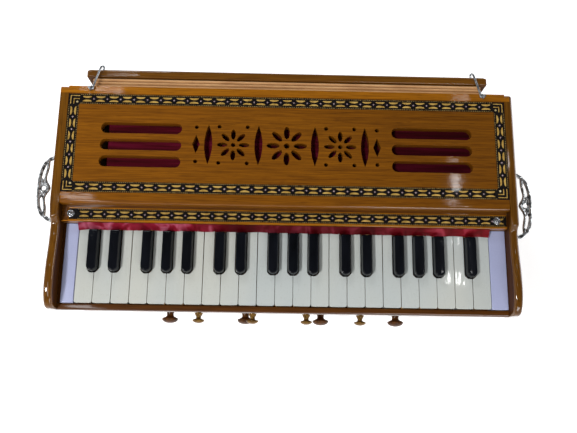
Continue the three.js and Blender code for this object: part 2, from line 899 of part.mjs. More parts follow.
function buildCover() {
  const plan = new THREE.Shape();
  plan.moveTo(-coverHalf, coverFront - overrun);
  plan.lineTo(coverHalf, coverFront - overrun);
  plan.lineTo(coverHalf, coverRear);
  plan.lineTo(-coverHalf, coverRear);
  plan.closePath();
  for (const side of [-1, 1]) {
    for (let i = 0; i < slotCount; i += 1) {
      const offset = (i - (slotCount - 1) / 2) * slotPitch;
      plan.holes.push(slotPath(side * slotCentreX, slotCentreY + offset));
    }
  }
  plan.holes.push(...fretPaths());
  const board = toSolid(alongZ(plan, coverUnderside - overrun, caseHeight + overrun, 5));
  const profile = toSolid(alongX(coverProfile(), -coverHalf, coverHalf, 5));
  return board.intersect(profile);
}

addPiece('top_cover', buildCover(), finish.wood);

// Cloth board under the fretwork

function buildGrille() {
  const half = coverHalf - grilleSideMargin;
  return toSolid(box(
    [-half, keyRailSeat + keyRailLedge + grilleFrontGap, coverUnderside - seatGap - grilleThickness],
    [half, backInside - grilleRearMargin, coverUnderside - seatGap],
  ));
}

addPiece('grille_cloth', buildGrille(), finish.grille);

// Stops: a turned knob, its rod through the front panel and the valve disc behind

function stopSolid(row) {
  const points = [];
  const innerEnd = frontFace + stopRodReach;
  points.push(new THREE.Vector2(0, innerEnd));
  points.push(new THREE.Vector2(stopValveRadius, innerEnd));
  points.push(new THREE.Vector2(stopValveRadius, innerEnd - stopValveThickness));
  points.push(new THREE.Vector2(stopRodRadius, innerEnd - stopValveThickness));
  points.push(new THREE.Vector2(stopRodRadius, frontFace - stopCollarGap));
  const length = row.length - stopCollarGap;
  for (const [alongShare, radiusShare] of row.profileShares) {
    points.push(new THREE.Vector2(radiusShare * row.radius, frontFace - stopCollarGap - alongShare * length));
  }
  return new THREE.LatheGeometry(points, stopFacets);
}

function addStops(prefix, row, look) {
  stopPlaces(row).forEach((x, i) => {
    const solid = toSolid(stopSolid(row).translate(x, 0, stopHeight(row)));
    addPiece(`${prefix}_${i + 1}`, solid, look);
  });
}

addStops('main_stop', largeStops, finish.brownKnob);
addStops('drone_stop', smallStops, finish.brass);

// Bellows

function buildBellowsBoard() {
  const front = rearFace + foldsDepth + seatGap;
  const rear = front + boardThickness;
  const ring = (inset, y) => {
    const half = boardWidth / 2 - inset;
    const low = boardBottom + inset;
    const high = boardTop - inset;
    return [[-half, y, low], [half, y, low], [half, y, high], [-half, y, high]];
  };
  return toSolid(loft([
    ring(boardMoulding, front),
    ring(boardMoulding / 4, front + boardMoulding / 2),
    ring(0, front + boardMoulding),
    ring(0, rear - boardMoulding),
    ring(boardMoulding / 2, rear - boardMoulding / 2),
    ring(boardMoulding, rear),
  ]));
}

// Pleats: a ring of walls whose section zigzags outward foldCount times
function buildBellowsFolds() {
  const near = rearFace + seatGap;
  const far = rearFace + foldsDepth;
  const stations = 2 * foldCount;
  const frame = (inset, y) => {
    const half = boardWidth / 2 - foldsSideInset - inset;
    const low = boardBottom + foldsSideInset + inset;
    const high = boardTop - foldsTopInset - inset;
    return [[-half, y, low], [half, y, low], [half, y, high], [-half, y, high]];
  };
  const skin = (wall) => {
    const rings = [];
    for (let i = 0; i <= stations; i += 1) {
      const valley = i % 2 === 0 ? foldRise : 0;
      rings.push(frame(valley + wall, THREE.MathUtils.lerp(near, far, i / stations)));
    }
    return rings;
  };
  const inner = skin(foldWall);
  inner[0] = inner[0].map(([x, y, z]) => [x, y - overrun, z]);
  inner[stations] = inner[stations].map(([x, y, z]) => [x, y + overrun, z]);
  return toSolid(loft(skin(0))).subtract(toSolid(loft(inner)));
}

addPiece('bellows_board', buildBellowsBoard(), finish.wood);
addPiece('bellows_folds', buildBellowsFolds(), finish.leather);

// Wire hooks

function buildHook(side) {
  const turn = side * THREE.MathUtils.degToRad(hookTurnDegrees);
  const armX = -side * (hookPinHalf - hookWireRadius);
  const pathPoints = hookPathShares.map(([alongShare, riseShare, lipShare]) => (
    new THREE.Vector3(0, alongShare * hookLength, riseShare * hookRise - lipShare * hookLip)
  ));
  const path = new THREE.CatmullRomCurve3(pathPoints);
  const arm = wire(path, hookWireRadius, 13, 6).translate(armX, 0, 0);
  const pin = new THREE.CylinderGeometry(hookWireRadius, hookWireRadius, 2 * hookPinHalf, 6);
  pin.rotateZ(Math.PI / 2);
  const knuckle = new THREE.SphereGeometry(hookWireRadius * hookKnuckleShare, 6, 4).translate(armX, 0, 0);
  return join([arm, pin, knuckle].map((piece) => (
    piece.rotateZ(turn).translate(side * hookPlaceX, hookPlaceY, hookPlaceZ)
  )));
}

addPiece('left_hook', buildHook(-1), finish.chrome);
addPiece('right_hook', buildHook(1), finish.chrome);

// Bail handles, pierced: an outer bow, an inner rib and a ring where they come closest to the hand

function buildHandle(side) {
  const centreY = handleCentreY(side);
  const pinX = caseWidth / 2 + earReach;
  const place = (out, along) => new THREE.Vector3(side * (pinX + out), centreY + along, handleHeight);
  const bowSteps = 14;
  const bowPoints = [];
  for (let i = 0; i <= bowSteps; i += 1) {
    const angle = (i * Math.PI) / bowSteps;
    const out = Math.abs(Math.sin(angle)) ** (2 / handleBowPower);
    const along = -Math.sign(Math.cos(angle)) * Math.abs(Math.cos(angle)) ** (2 / handleBowPower);
    bowPoints.push(place(handleReach * out, handleHalfSpan * along));
  }
  const ribPoints = handleRibShares.map(([outShare, alongShare]) => (
    place(outShare * handleReach, alongShare * handleHalfSpan)
  ));
  const bow = wire(new THREE.CatmullRomCurve3(bowPoints), handleWireRadius, 20, 6);
  const rib = wire(new THREE.CatmullRomCurve3(ribPoints), handleRibRadius, 15, 6);
  const ringMiddle = (1 + handleCrestShare) / 2;
  const ring = new THREE.TorusGeometry(handleRingRadius, handleRibRadius, 6, 10);
  ring.translate(...place(ringMiddle * handleReach, 0).toArray());
  const pinLength = handleWireRadius + earGap + earThickness + earGap;
  const pins = [-1, 1].map((end) => {
    const pin = new THREE.CylinderGeometry(handlePinRadius, handlePinRadius, pinLength, 8);
    return pin.translate(...place(0, end * (handleHalfSpan + pinLength / 2)).toArray());
  });
  const knuckles = [-1, 1].map((end) => {
    const knuckle = new THREE.SphereGeometry(handleWireRadius * handleKnuckleShare, 6, 4);
    return knuckle.translate(...place(0, end * handleHalfSpan).toArray());
  });
  return join([bow, rib, ring, ...pins, ...knuckles]);
}

addPiece('left_handle', buildHandle(-1), finish.chrome);
addPiece('right_handle', buildHandle(1), finish.chrome);

// Reservoir board, hinged at the rear under the reed board

function buildReservoir() {
  const half = innerHalf - reservoirSideGap;
  const top = cleatUnderside - seatGap;
  return toSolid(box(
    [-half, noseFace + reservoirFrontSetback, top - reservoirThickness],
    [half, backInside - reservoirHingeRail - seatGap, top],
  ));
}

addPiece('reservoir', buildReservoir(), finish.rawWood);

export default harmonium;
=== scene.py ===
"""Indian harmonium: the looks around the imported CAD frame, in metres.

+X runs to the player's right, +Y away from the player, +Z up, as in the frame.
"""

import contextlib
from math import copysign, cos, hypot, pi, radians, sin, sqrt, tan

import bmesh
import bpy
from mathutils import Matrix, Vector, noise


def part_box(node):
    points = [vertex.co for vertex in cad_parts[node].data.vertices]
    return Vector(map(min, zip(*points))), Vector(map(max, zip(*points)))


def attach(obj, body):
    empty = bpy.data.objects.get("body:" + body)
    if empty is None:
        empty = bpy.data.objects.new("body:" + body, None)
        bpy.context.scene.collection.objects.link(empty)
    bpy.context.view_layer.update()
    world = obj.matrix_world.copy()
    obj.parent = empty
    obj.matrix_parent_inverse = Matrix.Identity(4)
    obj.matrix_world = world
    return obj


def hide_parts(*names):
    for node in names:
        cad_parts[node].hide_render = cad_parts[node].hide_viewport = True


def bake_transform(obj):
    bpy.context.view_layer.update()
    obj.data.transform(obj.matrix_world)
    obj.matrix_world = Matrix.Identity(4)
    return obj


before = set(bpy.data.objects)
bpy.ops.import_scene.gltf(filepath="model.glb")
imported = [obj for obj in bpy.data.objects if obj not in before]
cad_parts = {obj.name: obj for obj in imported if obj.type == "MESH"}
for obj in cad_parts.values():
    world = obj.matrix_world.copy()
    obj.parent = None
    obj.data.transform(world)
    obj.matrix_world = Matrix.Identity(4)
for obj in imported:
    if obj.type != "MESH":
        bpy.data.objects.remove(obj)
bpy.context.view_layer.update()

# Places taken from the frame
COVER_LOW, COVER_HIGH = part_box("top_cover")
RAIL_LOW, RAIL_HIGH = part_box("key_rail")
GRILLE_LOW, GRILLE_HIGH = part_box("grille_cloth")
CLOTH_LOW, CLOTH_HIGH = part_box("key_cloth")
BOARD_LOW, BOARD_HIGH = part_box("bellows_board")
FOLDS_LOW, FOLDS_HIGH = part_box("bellows_folds")
KEY_LOW, KEY_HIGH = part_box("white_key_01")
SHARP_LOW, SHARP_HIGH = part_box("black_key_01")
KEYBED_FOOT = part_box("reed_board")[0].z
LAST_KEY_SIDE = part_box("white_key_23")[1].x

# The boards of the case
COVER_SIDE_GAP = 0.0005
COVER_REAR_GAP = 0.0003
CHEEK_THICKNESS = 0.0105
PANEL_TO_RAIL = 0.093
INNER_HALF = COVER_HIGH.x + COVER_SIDE_GAP
OUTER_HALF = INNER_HALF + CHEEK_THICKNESS
BACK_INSIDE = COVER_HIGH.y + COVER_REAR_GAP
PANEL_FACE = RAIL_LOW.y - PANEL_TO_RAIL
TOP = COVER_HIGH.z

# How close counts as the same point, as on a plane, and how far as clear of it
SAME = 1e-6
ON_PLANE = 2e-5
CLEAR = 1e-4

X_AXIS = Vector((1, 0, 0))
Y_AXIS = Vector((0, 1, 0))
Z_AXIS = Vector((0, 0, 1))
QUARTER = pi / 2


def new_object(name, data):
    made = bpy.data.objects.new(name, data)
    bpy.context.scene.collection.objects.link(made)
    return made


# Camera: the photograph's place, direction and field of view

PHOTO_WIDTH = 577
FOCAL_PIXELS = 682.8
SENSOR_WIDTH = 36
NEAREST_SHOWN = 0.01
CAMERA_YAW = radians(3.62)
CAMERA_PITCH = radians(76.74)
CAMERA_ROLL = radians(4.59)
CAMERA_PLACE = Vector((-0.00838, -0.21351, 0.99134))


def add_camera():
    camera = new_object("camera", bpy.data.cameras.new("camera"))
    camera.data.sensor_width = SENSOR_WIDTH
    camera.data.lens = FOCAL_PIXELS * SENSOR_WIDTH / PHOTO_WIDTH
    camera.data.clip_start = NEAREST_SHOWN
    aim = Matrix.Rotation(-CAMERA_YAW, 4, "Z") @ Matrix.Rotation(QUARTER - CAMERA_PITCH, 4, "X")
    camera.matrix_world = Matrix.Translation(CAMERA_PLACE) @ aim @ Matrix.Rotation(CAMERA_ROLL, 4, "Z")
    bpy.context.scene.camera = camera


add_camera()


# Materials

WHITE = (1, 1, 1)
# Values between which most of a noise lies
NOISE_SPREAD = (0.3, 0.7)
# How far each seed moves a wood's textures along each axis
SEED_STEPS = (3.1, 1.7, 2.3)


def srgb(red, green, blue):
    """A colour given as 0 to 255, as the linear values that a shader takes."""
    parts = [value / 255 for value in (red, green, blue)]
    return tuple(p / 12.92 if p <= 0.04045 else ((p + 0.055) / 1.055) ** 2.4 for p in parts)


class Nodes:
    """The nodes of a material or a world, with short calls that add to them."""

    def __init__(self, owner):
        owner.use_nodes = True
        self.nodes = owner.node_tree.nodes
        self.links = owner.node_tree.links

    def feed(self, socket, value):
        """Links a node's output to a socket, or sets the socket's own value."""
        if isinstance(value, bpy.types.NodeSocket):
            self.links.new(value, socket)
        else:
            socket.default_value = (*value, 1) if socket.type == "RGBA" else value

    def node(self, kind, inputs=None, **settings):
        made = self.nodes.new(kind)
        for key, value in settings.items():
            setattr(made, key, value)
        for key, value in (inputs or {}).items():
            self.feed(made.inputs[key], value)
        return made

    def ramp(self, factor, *stops):
        made = self.node("ShaderNodeValToRGB", {"Fac": factor})
        elements = made.color_ramp.elements
        while len(elements) < len(stops):
            elements.new(0.5)
        for element, (place, colour) in zip(elements, stops):
            element.position = place
            element.color = (*colour, 1)
        return made.outputs["Color"]


class Shader(Nodes):
    """A material under construction, with textures laid out in the metres of the frame."""

    def __init__(self, name, shift=(0, 0, 0), **values):
        self.material = bpy.data.materials.new(name)
        super().__init__(self.material)
        self.shift = shift
        self.surface = self.nodes["Principled BSDF"]
        for socket, value in values.items():
            self.set(socket.replace("_", " "), value)

    def set(self, socket, value):
        self.feed(self.surface.inputs[socket], value)

    def places(self, *scale):
        """Points of the piece in the frame, scaled along each axis and shifted."""
        source = self.node("ShaderNodeTexCoord").outputs["Object"]
        inputs = {"Vector": source, "Location": self.shift, "Scale": scale}
        return self.node("ShaderNodeMapping", inputs).outputs["Vector"]

    def noise(self, waves, detail=2, roughness=0.5, distortion=0):
        """Noise with its waves to a metre given along each axis."""
        return self.node("ShaderNodeTexNoise", {
            "Vector": self.places(*waves), "Scale": 1, "Detail": detail,
            "Roughness": roughness, "Distortion": distortion,
        }).outputs["Fac"]

    def rescaled(self, factor, low, high, to_low=0, to_high=1):
        return self.node("ShaderNodeMapRange", {
            "Value": factor, "From Min": low, "From Max": high, "To Min": to_low, "To Max": to_high,
        }).outputs["Result"]

    def along_x(self, low, high):
        """0 at one place across the piece and 1 at another, in metres of the frame."""
        source = self.node("ShaderNodeTexCoord").outputs["Object"]
        split = self.node("ShaderNodeSeparateXYZ", {"Vector": source})
        return self.rescaled(split.outputs["X"], low, high)

    def paint(self, factor, *stops):
        self.colour = self.ramp(factor, *stops)
        self.set("Base Color", self.colour)

    def tint(self, share, factor, *stops):
        """Multiplies the colour, to a share, by what the factor picks from the stops."""
        factor_in, colour_in, tint_in, colour_out = 0, 6, 7, 2
        inputs = {factor_in: share, colour_in: self.colour, tint_in: self.ramp(factor, *stops)}
        made = self.node("ShaderNodeMix", inputs, data_type="RGBA", blend_type="MULTIPLY")
        self.colour = made.outputs[colour_out]
        self.set("Base Color", self.colour)

    def worn(self, factor, low, high):
        """Roughness between two values, where the factor goes from its darks to its lights."""
        self.set("Roughness", self.rescaled(factor, *NOISE_SPREAD, low, high))

    def bump(self, height, depth, strength, into="Normal", onto=None):
        inputs = {"Height": height, "Distance": depth, "Strength": strength}
        if onto:
            inputs["Normal"] = onto
        normal = self.node("ShaderNodeBump", inputs).outputs["Normal"]
        self.set(into, normal)
        return normal


def varnished_wood(name, grain, pale, dark, seed, painted_falloff=1, coat=0.9):
    """Fine straight-grained timber under a thick clear varnish, with painted shade that darkens it towards
    the right, down to the share given last.
    """
    shader = Shader(
        name, [seed * step for step in SEED_STEPS], Roughness=0.45, Specular_IOR_Level=0.04,
        Coat_Weight=coat, Coat_Roughness=0.05,
    )

    def drawn_out(along, across):
        return [along if axis == grain else across for axis in "xyz"]

    bands = shader.noise(drawn_out(5, 220), 4, 0.6, 0.5)
    fibres = shader.noise(drawn_out(22, 760), 4, 0.6)
    pores = shader.noise(drawn_out(60, 1500), 1, 0.4)
    patches = shader.noise((7, 7, 7), 1)
    middle = [(p + d) / 2 for p, d in zip(pale, dark)]
    shader.paint(bands, (0.05, dark), (0.5, middle), (0.95, pale))
    shader.tint(0.8, fibres, (0.34, (0.55, 0.5, 0.45)), (0.6, (1.1, 1.08, 1.04)))
    shader.tint(0.55, pores, (0.3, (0.42, 0.34, 0.28)), (0.37, WHITE))
    shader.tint(0.5, patches, (0.3, (0.9, 0.88, 0.86)), (0.7, (1.06, 1.05, 1.02)))
    across = shader.along_x(-INNER_HALF, INNER_HALF)
    shader.bump(fibres, 0.00006, 0.5)
    peel = shader.noise((90, 150, 150), 3)
    brushed = shader.noise(drawn_out(45, 520))
    swell = shader.bump(peel, 0.00008, 0.5, "Coat Normal")
    shader.bump(brushed, 0.00003, 0.6, "Coat Normal", swell)
    # Painted shade: the colour darkens towards the right end of the case, standing in for light falling off
    shader.tint(1, across, (0, WHITE), (1, (painted_falloff, painted_falloff, painted_falloff)))
    return shader.material


def raw_wood():
    shader = Shader("raw_wood", Roughness=0.75)
    bands = shader.noise((40, 6, 40), 3, 0.6, 0.4)
    fibres = shader.noise((700, 25, 700), 3, 0.6)
    shader.paint(bands, (0.3, srgb(160, 118, 70)), (0.7, srgb(205, 165, 112)))
    shader.bump(fibres, 0.0001, 0.6)
    shader.tint(0.6, fibres, (0.35, (0.7, 0.66, 0.6)), (0.6, WHITE))
    return shader.material


def white_plastic():
    """Cast plastic key tops: slightly uneven in tone, with fine wear in the gloss."""
    shader = Shader("white_plastic", Specular_IOR_Level=0.3, Coat_Weight=0.5, Coat_Roughness=0.04)
    tone = shader.noise((9, 4, 9))
    shader.paint(tone, (0.35, srgb(192, 198, 196)), (0.65, srgb(204, 205, 196)))
    specks = shader.noise((420, 420, 420))
    shader.worn(shader.noise((90, 18, 90), 4, 0.7), 0.22, 0.4)
    shader.bump(shader.noise((60, 25, 60)), 0.0001, 0.2)
    shader.tint(0.35, specks, (0.28, (0.8, 0.79, 0.74)), (0.4, WHITE))
    return shader.material


def black_plastic():
    shader = Shader("black_plastic", Specular_IOR_Level=0.04, Coat_Weight=0.18, Coat_Roughness=0.03)
    tone = shader.noise((60, 20, 60), 3)
    shader.worn(shader.noise((300, 40, 300), 4, 0.7), 0.12, 0.3)
    shader.bump(shader.noise((55, 30, 55)), 0.0001, 0.25)
    shader.paint(tone, (0.3, srgb(8, 9, 12)), (0.7, srgb(18, 20, 26)))
    return shader.material


def lavender_laminate():
    shader = Shader("lavender_laminate", Roughness=0.42, Coat_Weight=0.2, Coat_Roughness=0.25)
    tone = shader.noise((30, 10, 30), 3)
    shader.paint(tone, (0.3, srgb(170, 176, 210)), (0.7, srgb(182, 188, 222)))
    grain = shader.noise((900, 900, 900))
    shader.bump(grain, 0.00005, 0.4)
    shader.tint(0.3, grain, (0.3, srgb(225, 222, 235)), (0.7, WHITE))
    return shader.material


# Painted light and shade along the satin: its gathered left end is painted light, as if it caught the light,
# and the flat stretch right of it dark, as the rail's shade
SATIN_PAINTED_LIGHT = (
    (0, (0.6, 0.7, 0.7)), (0.1, (0.72, 0.86, 0.86)), (0.27, (0.7, 0.76, 0.76)), (0.4, (0.24, 0.16, 0.16)),
    (0.72, (0.26, 0.14, 0.14)), (0.86, (0.46, 0.24, 0.24)), (1, (0.6, 0.3, 0.3)),
)


def satin():
    """Red satin: a tight shiny weave, with pale pink painted highlights on its folds."""
    shader = Shader("satin", Specular_IOR_Level=0.08, Sheen_Weight=0.06, Sheen_Tint=srgb(235, 130, 150))
    folds = shader.noise((60, 45, 55), 2, 0.5, 0.8)
    # The palest tone is a pink highlight painted on the folds
    tones_with_painted_sheen = ((0.36, srgb(124, 12, 28)), (0.52, srgb(160, 30, 52)), (0.7, srgb(220, 104, 130)))
    weave = shader.node("ShaderNodeTexWave", {
        "Vector": shader.places(1, 0.2, 0.2), "Scale": 900, "Distortion": 0.4,
    }).outputs["Fac"]
    shader.paint(folds, *tones_with_painted_sheen)
    shader.tint(0.3, weave, (0.2, (0.72, 0.7, 0.7)), (0.8, WHITE))
    across = shader.along_x(CLOTH_LOW.x, CLOTH_HIGH.x)
    shader.worn(folds, 0.42, 0.28)
    shader.bump(folds, 0.002, 0.5)
    # Painted light and shade from one end of the satin to the other
    shader.tint(1, across, *SATIN_PAINTED_LIGHT)
    return shader.material


def grille_velvet():
    """Maroon velvet seen through the fretwork, with painted sheen in long lighter streaks and painted shade
    towards the right.
    """
    shader = Shader("grille_velvet", Roughness=0.9, Specular_IOR_Level=0.05, Sheen_Weight=0.12,
                    Sheen_Roughness=0.4, Sheen_Tint=srgb(160, 34, 80))
    painted_sheen_streaks = shader.noise((9, 160, 9), 3, 0.6, 0.3)
    tones_with_painted_sheen = ((0.3, srgb(56, 12, 16)), (0.5, srgb(84, 14, 28)), (0.72, srgb(112, 22, 50)))
    across = shader.along_x(GRILLE_LOW.x, GRILLE_HIGH.x)
    # The lighter tones along the streaks are painted sheen
    shader.paint(painted_sheen_streaks, *tones_with_painted_sheen)
    # Painted shade: darker towards the right
    shader.tint(1, across, (0.3, WHITE), (0.7, (0.55, 0.5, 0.5)))
    pile = shader.noise((1300, 1300, 1300))
    shader.bump(pile, 0.0002, 0.5)
    shader.tint(0.5, pile, (0.3, (0.6, 0.6, 0.6)), (0.7, WHITE))
    return shader.material


def plated(name, colour, waves, depth, metallic=1, hollow=0.72):
    """Bright plate over a base that is never quite smooth; hollow is the share of light its hollows keep."""
    shader = Shader(name, Metallic=metallic)
    tone = shader.noise((waves, waves, waves), 3)
    shader.worn(tone, 0.24, 0.12)
    shader.bump(tone, depth, 0.5)
    shader.paint(tone, (0.4, [part * hollow for part in colour]), (0.53, colour))
    return shader.material


def turned_wood(name, pale, dark, metallic=0):
    """Turned and polished knobs, with the grain running out from the panel."""
    shader = Shader(name, Metallic=metallic, Roughness=0.36, Specular_IOR_Level=0.08,
                    Coat_Weight=0.2, Coat_Roughness=0.08)
    grain = shader.noise((260, 60, 260), 4, 0.6, 0.5)
    shader.paint(grain, (0.3, dark), (0.65, pale))
    rings = shader.noise((0, 900, 0))
    shader.bump(rings, 0.00008, 0.4)
    shader.tint(0.35, rings, (0.3, (0.6, 0.58, 0.55)), (0.6, WHITE))
    return shader.material


def veneer(name, pale, dark):
    """A chip of dyed veneer in the inlay, under the same varnish."""
    shader = Shader(name, Roughness=0.5, Specular_IOR_Level=0.04, Coat_Weight=0.6, Coat_Roughness=0.03)
    tone = shader.noise((240, 240, 240), 3)
    streak = shader.noise((120, 1400, 1400))
    shader.paint(tone, (0.3, dark), (0.65, pale))
    shader.bump(streak, 0.00003, 0.4)
    shader.tint(0.4, streak, (0.35, (0.7, 0.7, 0.7)), (0.6, WHITE))
    return shader.material


def leather(name, pale, dark):
    shader = Shader(name, Roughness=0.62)
    tone = shader.noise((30, 120, 30), 3, 0.6)
    inputs = {"Vector": shader.places(1, 1, 1), "Scale": 1400}
    grain = shader.node("ShaderNodeTexVoronoi", inputs).outputs["Distance"]
    shader.paint(tone, (0.3, dark), (0.7, pale))
    shader.bump(grain, 0.0001, 0.5)
    shader.tint(0.35, grain, (0.1, (0.6, 0.58, 0.56)), (0.5, WHITE))
    return shader.material


# The last number given to a wood is the share of its colour left at the right end: painted shade
PANEL_WOOD = varnished_wood("panel_wood", "x", srgb(151, 94, 12), srgb(118, 68, 7), 1, 0.67)
STRIP_WOOD = varnished_wood("strip_wood", "x", srgb(181, 117, 18), srgb(150, 89, 10), 2, 0.8)
CHEEK_WOOD = varnished_wood("cheek_wood", "y", srgb(126, 81, 13), srgb(94, 57, 7), 3, 0.78)
RAIL_WOOD = varnished_wood("rail_wood", "x", srgb(98, 57, 14), srgb(70, 37, 8), 4)
BELLOWS_WOOD = varnished_wood("bellows_wood", "x", srgb(122, 78, 16), srgb(92, 55, 9), 5)
# Painted shade: a darker, unvarnished copy of the cheek wood for the cheeks' inner faces and the end blocks
# beside the keys
CHEEK_SIDE_PAINTED_SHADE = varnished_wood("cheek_side_painted_shade", "y", srgb(84, 48, 14), srgb(56, 30, 7), 6, coat=0)
# Painted shade: a darker copy of the rail's wood for where the cover and the cheek shade the rail
RAIL_PAINTED_SHADE = varnished_wood("rail_painted_shade", "x", srgb(104, 62, 14), srgb(78, 42, 8), 7, coat=0.5)
RAW_WOOD = raw_wood()
WHITE_PLASTIC = white_plastic()
BLACK_PLASTIC = black_plastic()
LAVENDER = lavender_laminate()
SATIN = satin()
VELVET = grille_velvet()
CHROME_CASTING = plated("chrome_casting", srgb(234, 237, 240), 200, 0.0007, 0.75, 0.1)
CHROME_WIRE = plated("chrome_wire", srgb(168, 172, 176), 300, 0.0001, 0.7, 0.4)
SCREW_STEEL = plated("screw_steel", srgb(206, 208, 212), 400, 0.0003, 0.88)
REED_BRASS = plated("reed_brass", srgb(196, 160, 84), 200, 0.0001)
BROWN_KNOB = turned_wood("brown_knob", srgb(102, 62, 26), srgb(42, 23, 8))
OLIVE_KNOB = turned_wood("olive_knob", srgb(134, 100, 44), srgb(80, 54, 20), 0.3)
INLAY_BLACK = veneer("inlay_black", srgb(26, 22, 20), srgb(12, 10, 10))
INLAY_DOT = veneer("inlay_dot", srgb(196, 164, 96), srgb(128, 100, 50))
INLAY_GOLD = veneer("inlay_gold", srgb(200, 164, 88), srgb(158, 122, 54))
INLAY_CREAM = veneer("inlay_cream", srgb(206, 192, 148), srgb(170, 150, 104))
INLAY_STAR = veneer("inlay_star", srgb(196, 174, 180), srgb(150, 124, 132))
PLEAT_TAN = leather("pleat_tan", srgb(214, 170, 118), srgb(186, 138, 90))
PLEAT_DARK = leather("pleat_dark", srgb(96, 34, 26), srgb(66, 22, 18))


# Shapes

SHARP_ANGLE = 40
EDGE_ANGLE = radians(30)
FLAT_ANGLE = radians(0.4)
CUT_SNAP = 1e-7
EDGE_STEPS = 2
# Points to each stretch of a smooth line, and sides of a bar, for large forms and small ones
FINE_STEPS, COARSE_STEPS = 8, 4
FINE_SIDES, COARSE_SIDES = 14, 10


def add_piece(name, mesh, body, materials, stands_for=None, sharp=SHARP_ANGLE, balance=True):
    """A piece in the frame that moves with a body, shaded smooth up to an angle in degrees."""
    mesh.name = name
    for material in materials:
        mesh.materials.append(material)
    mesh.shade_smooth()
    mesh.set_sharp_from_angle(angle=radians(sharp))
    piece = new_object(name, mesh)
    if balance:
        piece.modifiers.new("balance", "WEIGHTED_NORMAL").keep_sharp = True
    if body:
        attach(piece, body)
    if stands_for:
        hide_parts(stands_for)
    return piece


def middle_and_half(node):
    low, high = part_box(node)
    return (low + high) / 2, (high - low) / 2


@contextlib.contextmanager
def edited(mesh, *sources):
    """The sources as one bmesh to work on, which becomes the mesh at the end."""
    bm = bmesh.new()
    for source in sources:
        bm.from_mesh(source)
    yield bm
    bm.to_mesh(mesh)
    bm.free()


def mesh_of(points=(), faces=()):
    mesh = bpy.data.meshes.new("part")
    mesh.from_pydata([tuple(p) for p in points], [], faces)
    mesh.update()
    return mesh


def rounded(bm, edges, radius, segments=3, profile=0.5):
    bmesh.ops.bevel(
        bm, geom=edges, offset=radius, segments=segments, profile=profile, affect="EDGES", clamp_overlap=True
    )


def ends_of(edge):
    return [vertex.co for vertex in edge.verts]


def is_outward(edge):
    return edge.is_manifold and edge.is_convex and edge.calc_face_angle() > EDGE_ANGLE


def carried(node, radius, kind_of=None, cuts=(), left_out=None, special=None):
    """A finer mesh of a CAD node: cut where its boards meet, with its outward edges rounded.

    kind_of gives each face the number of its material from its centre and normal, cuts are planes across
    an axis, left_out says which faces go, and special picks some edges and gives their own radius, steps
    and profile.
    """
    mesh = mesh_of()
    with edited(mesh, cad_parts[node].data) as bm:
        bmesh.ops.remove_doubles(bm, verts=bm.verts, dist=SAME)
        for axis, place in cuts:
            everything = bm.verts[:] + bm.edges[:] + bm.faces[:]
            bmesh.ops.bisect_plane(bm, geom=everything, plane_co=axis * place, plane_no=axis, dist=CUT_SNAP)
        if left_out:
            gone = [f for f in bm.faces if left_out(f.calc_center_median())]
            bmesh.ops.delete(bm, geom=gone, context="FACES")
        for face in bm.faces:
            face.material_index = kind_of(face.calc_center_median(), face.normal) if kind_of else 0
        bmesh.ops.dissolve_limit(
            bm, angle_limit=FLAT_ANGLE, verts=bm.verts, edges=bm.edges, delimit={"MATERIAL"}
        )
        if special:
            picked, *measures = special
            rounded(bm, [e for e in bm.edges if e.is_manifold and picked(e)], *measures)
        rounded(bm, [e for e in bm.edges if is_outward(e)], radius, EDGE_STEPS)
    return mesh


def lofted(rings, closed_ends=True, welded=False):
    """A skin over rings of points that all have the same number of points."""
    count = len(rings[0])
    points = [p for ring in rings for p in ring]
    faces = []
    for first in range(0, len(points) - count, count):
        for i in range(count):
            a, b = first + i, first + (i + 1) % count
            faces.append((a, b, b + count, a + count))
    if closed_ends:
        faces.append(tuple(reversed(range(count))))
        faces.append(tuple(range(len(points) - count, len(points))))
    mesh = mesh_of(points, faces)
    with edited(mesh, mesh) as bm:
        if welded:
            bmesh.ops.remove_doubles(bm, verts=bm.verts, dist=SAME)
        bmesh.ops.recalc_face_normals(bm, faces=bm.faces)
    return mesh


def arc(centre, first, second, radius, start, sweep, steps):
    """Points along an arc about a centre, from one direction of its plane towards the other."""
    angles = [start + sweep * i / steps for i in range(steps + 1)]
    return [centre + (first * cos(a) + second * sin(a)) * radius for a in angles]


def circle(centre, first, second, radius, sides):
    return arc(centre, first, second, radius, 0, 2 * pi, sides)[:-1]


def straight(start, end, count):
    return [start.lerp(end, i / (count - 1)) for i in range(count)]


def through(points, steps):
    """A smooth line through control points, with steps points to each stretch."""
    ends = [points[0] * 2 - points[1], *points, points[-1] * 2 - points[-2]]
    line = []
    for i in range(1, len(ends) - 2):
        a, b, c, d = ends[i - 1:i + 3]
        for step in range(steps):
            t = step / steps
            square = (2 * a - 5 * b + 4 * c - d) * t ** 2
            cube = (3 * b - a - 3 * c + d) * t ** 3
            line.append((2 * b + (c - a) * t + square + cube) / 2)
    line.append(points[-1].copy())
    return line


def swept(line, radius, sides=12, closed=False):
    """A round bar along a line; radius is a length or a function of the share of the way along."""
    rings = []
    count = len(line)
    side = None
    for i, place in enumerate(line):
        if closed:
            ahead, behind = line[(i + 1) % count], line[i - 1]
        else:
            ahead, behind = line[min(i + 1, count - 1)], line[max(i - 1, 0)]
        way = (ahead - behind).normalized()
        if side is None:
            side = way.orthogonal().normalized()
        side = (side - way * side.dot(way)).normalized()
        thick = radius(i / (count - 1)) if callable(radius) else radius
        rings.append(circle(place, side, way.cross(side), thick, sides))
    if closed:
        rings.append(rings[0])
    return lofted(rings, not closed, closed)


def turned(profile, place, sides=40):
    """A body of revolution that runs towards the player from place; profile is (radius, distance)."""
    return lofted([
        circle(place - Y_AXIS * distance, X_AXIS, Z_AXIS, radius, sides) for radius, distance in profile
    ])


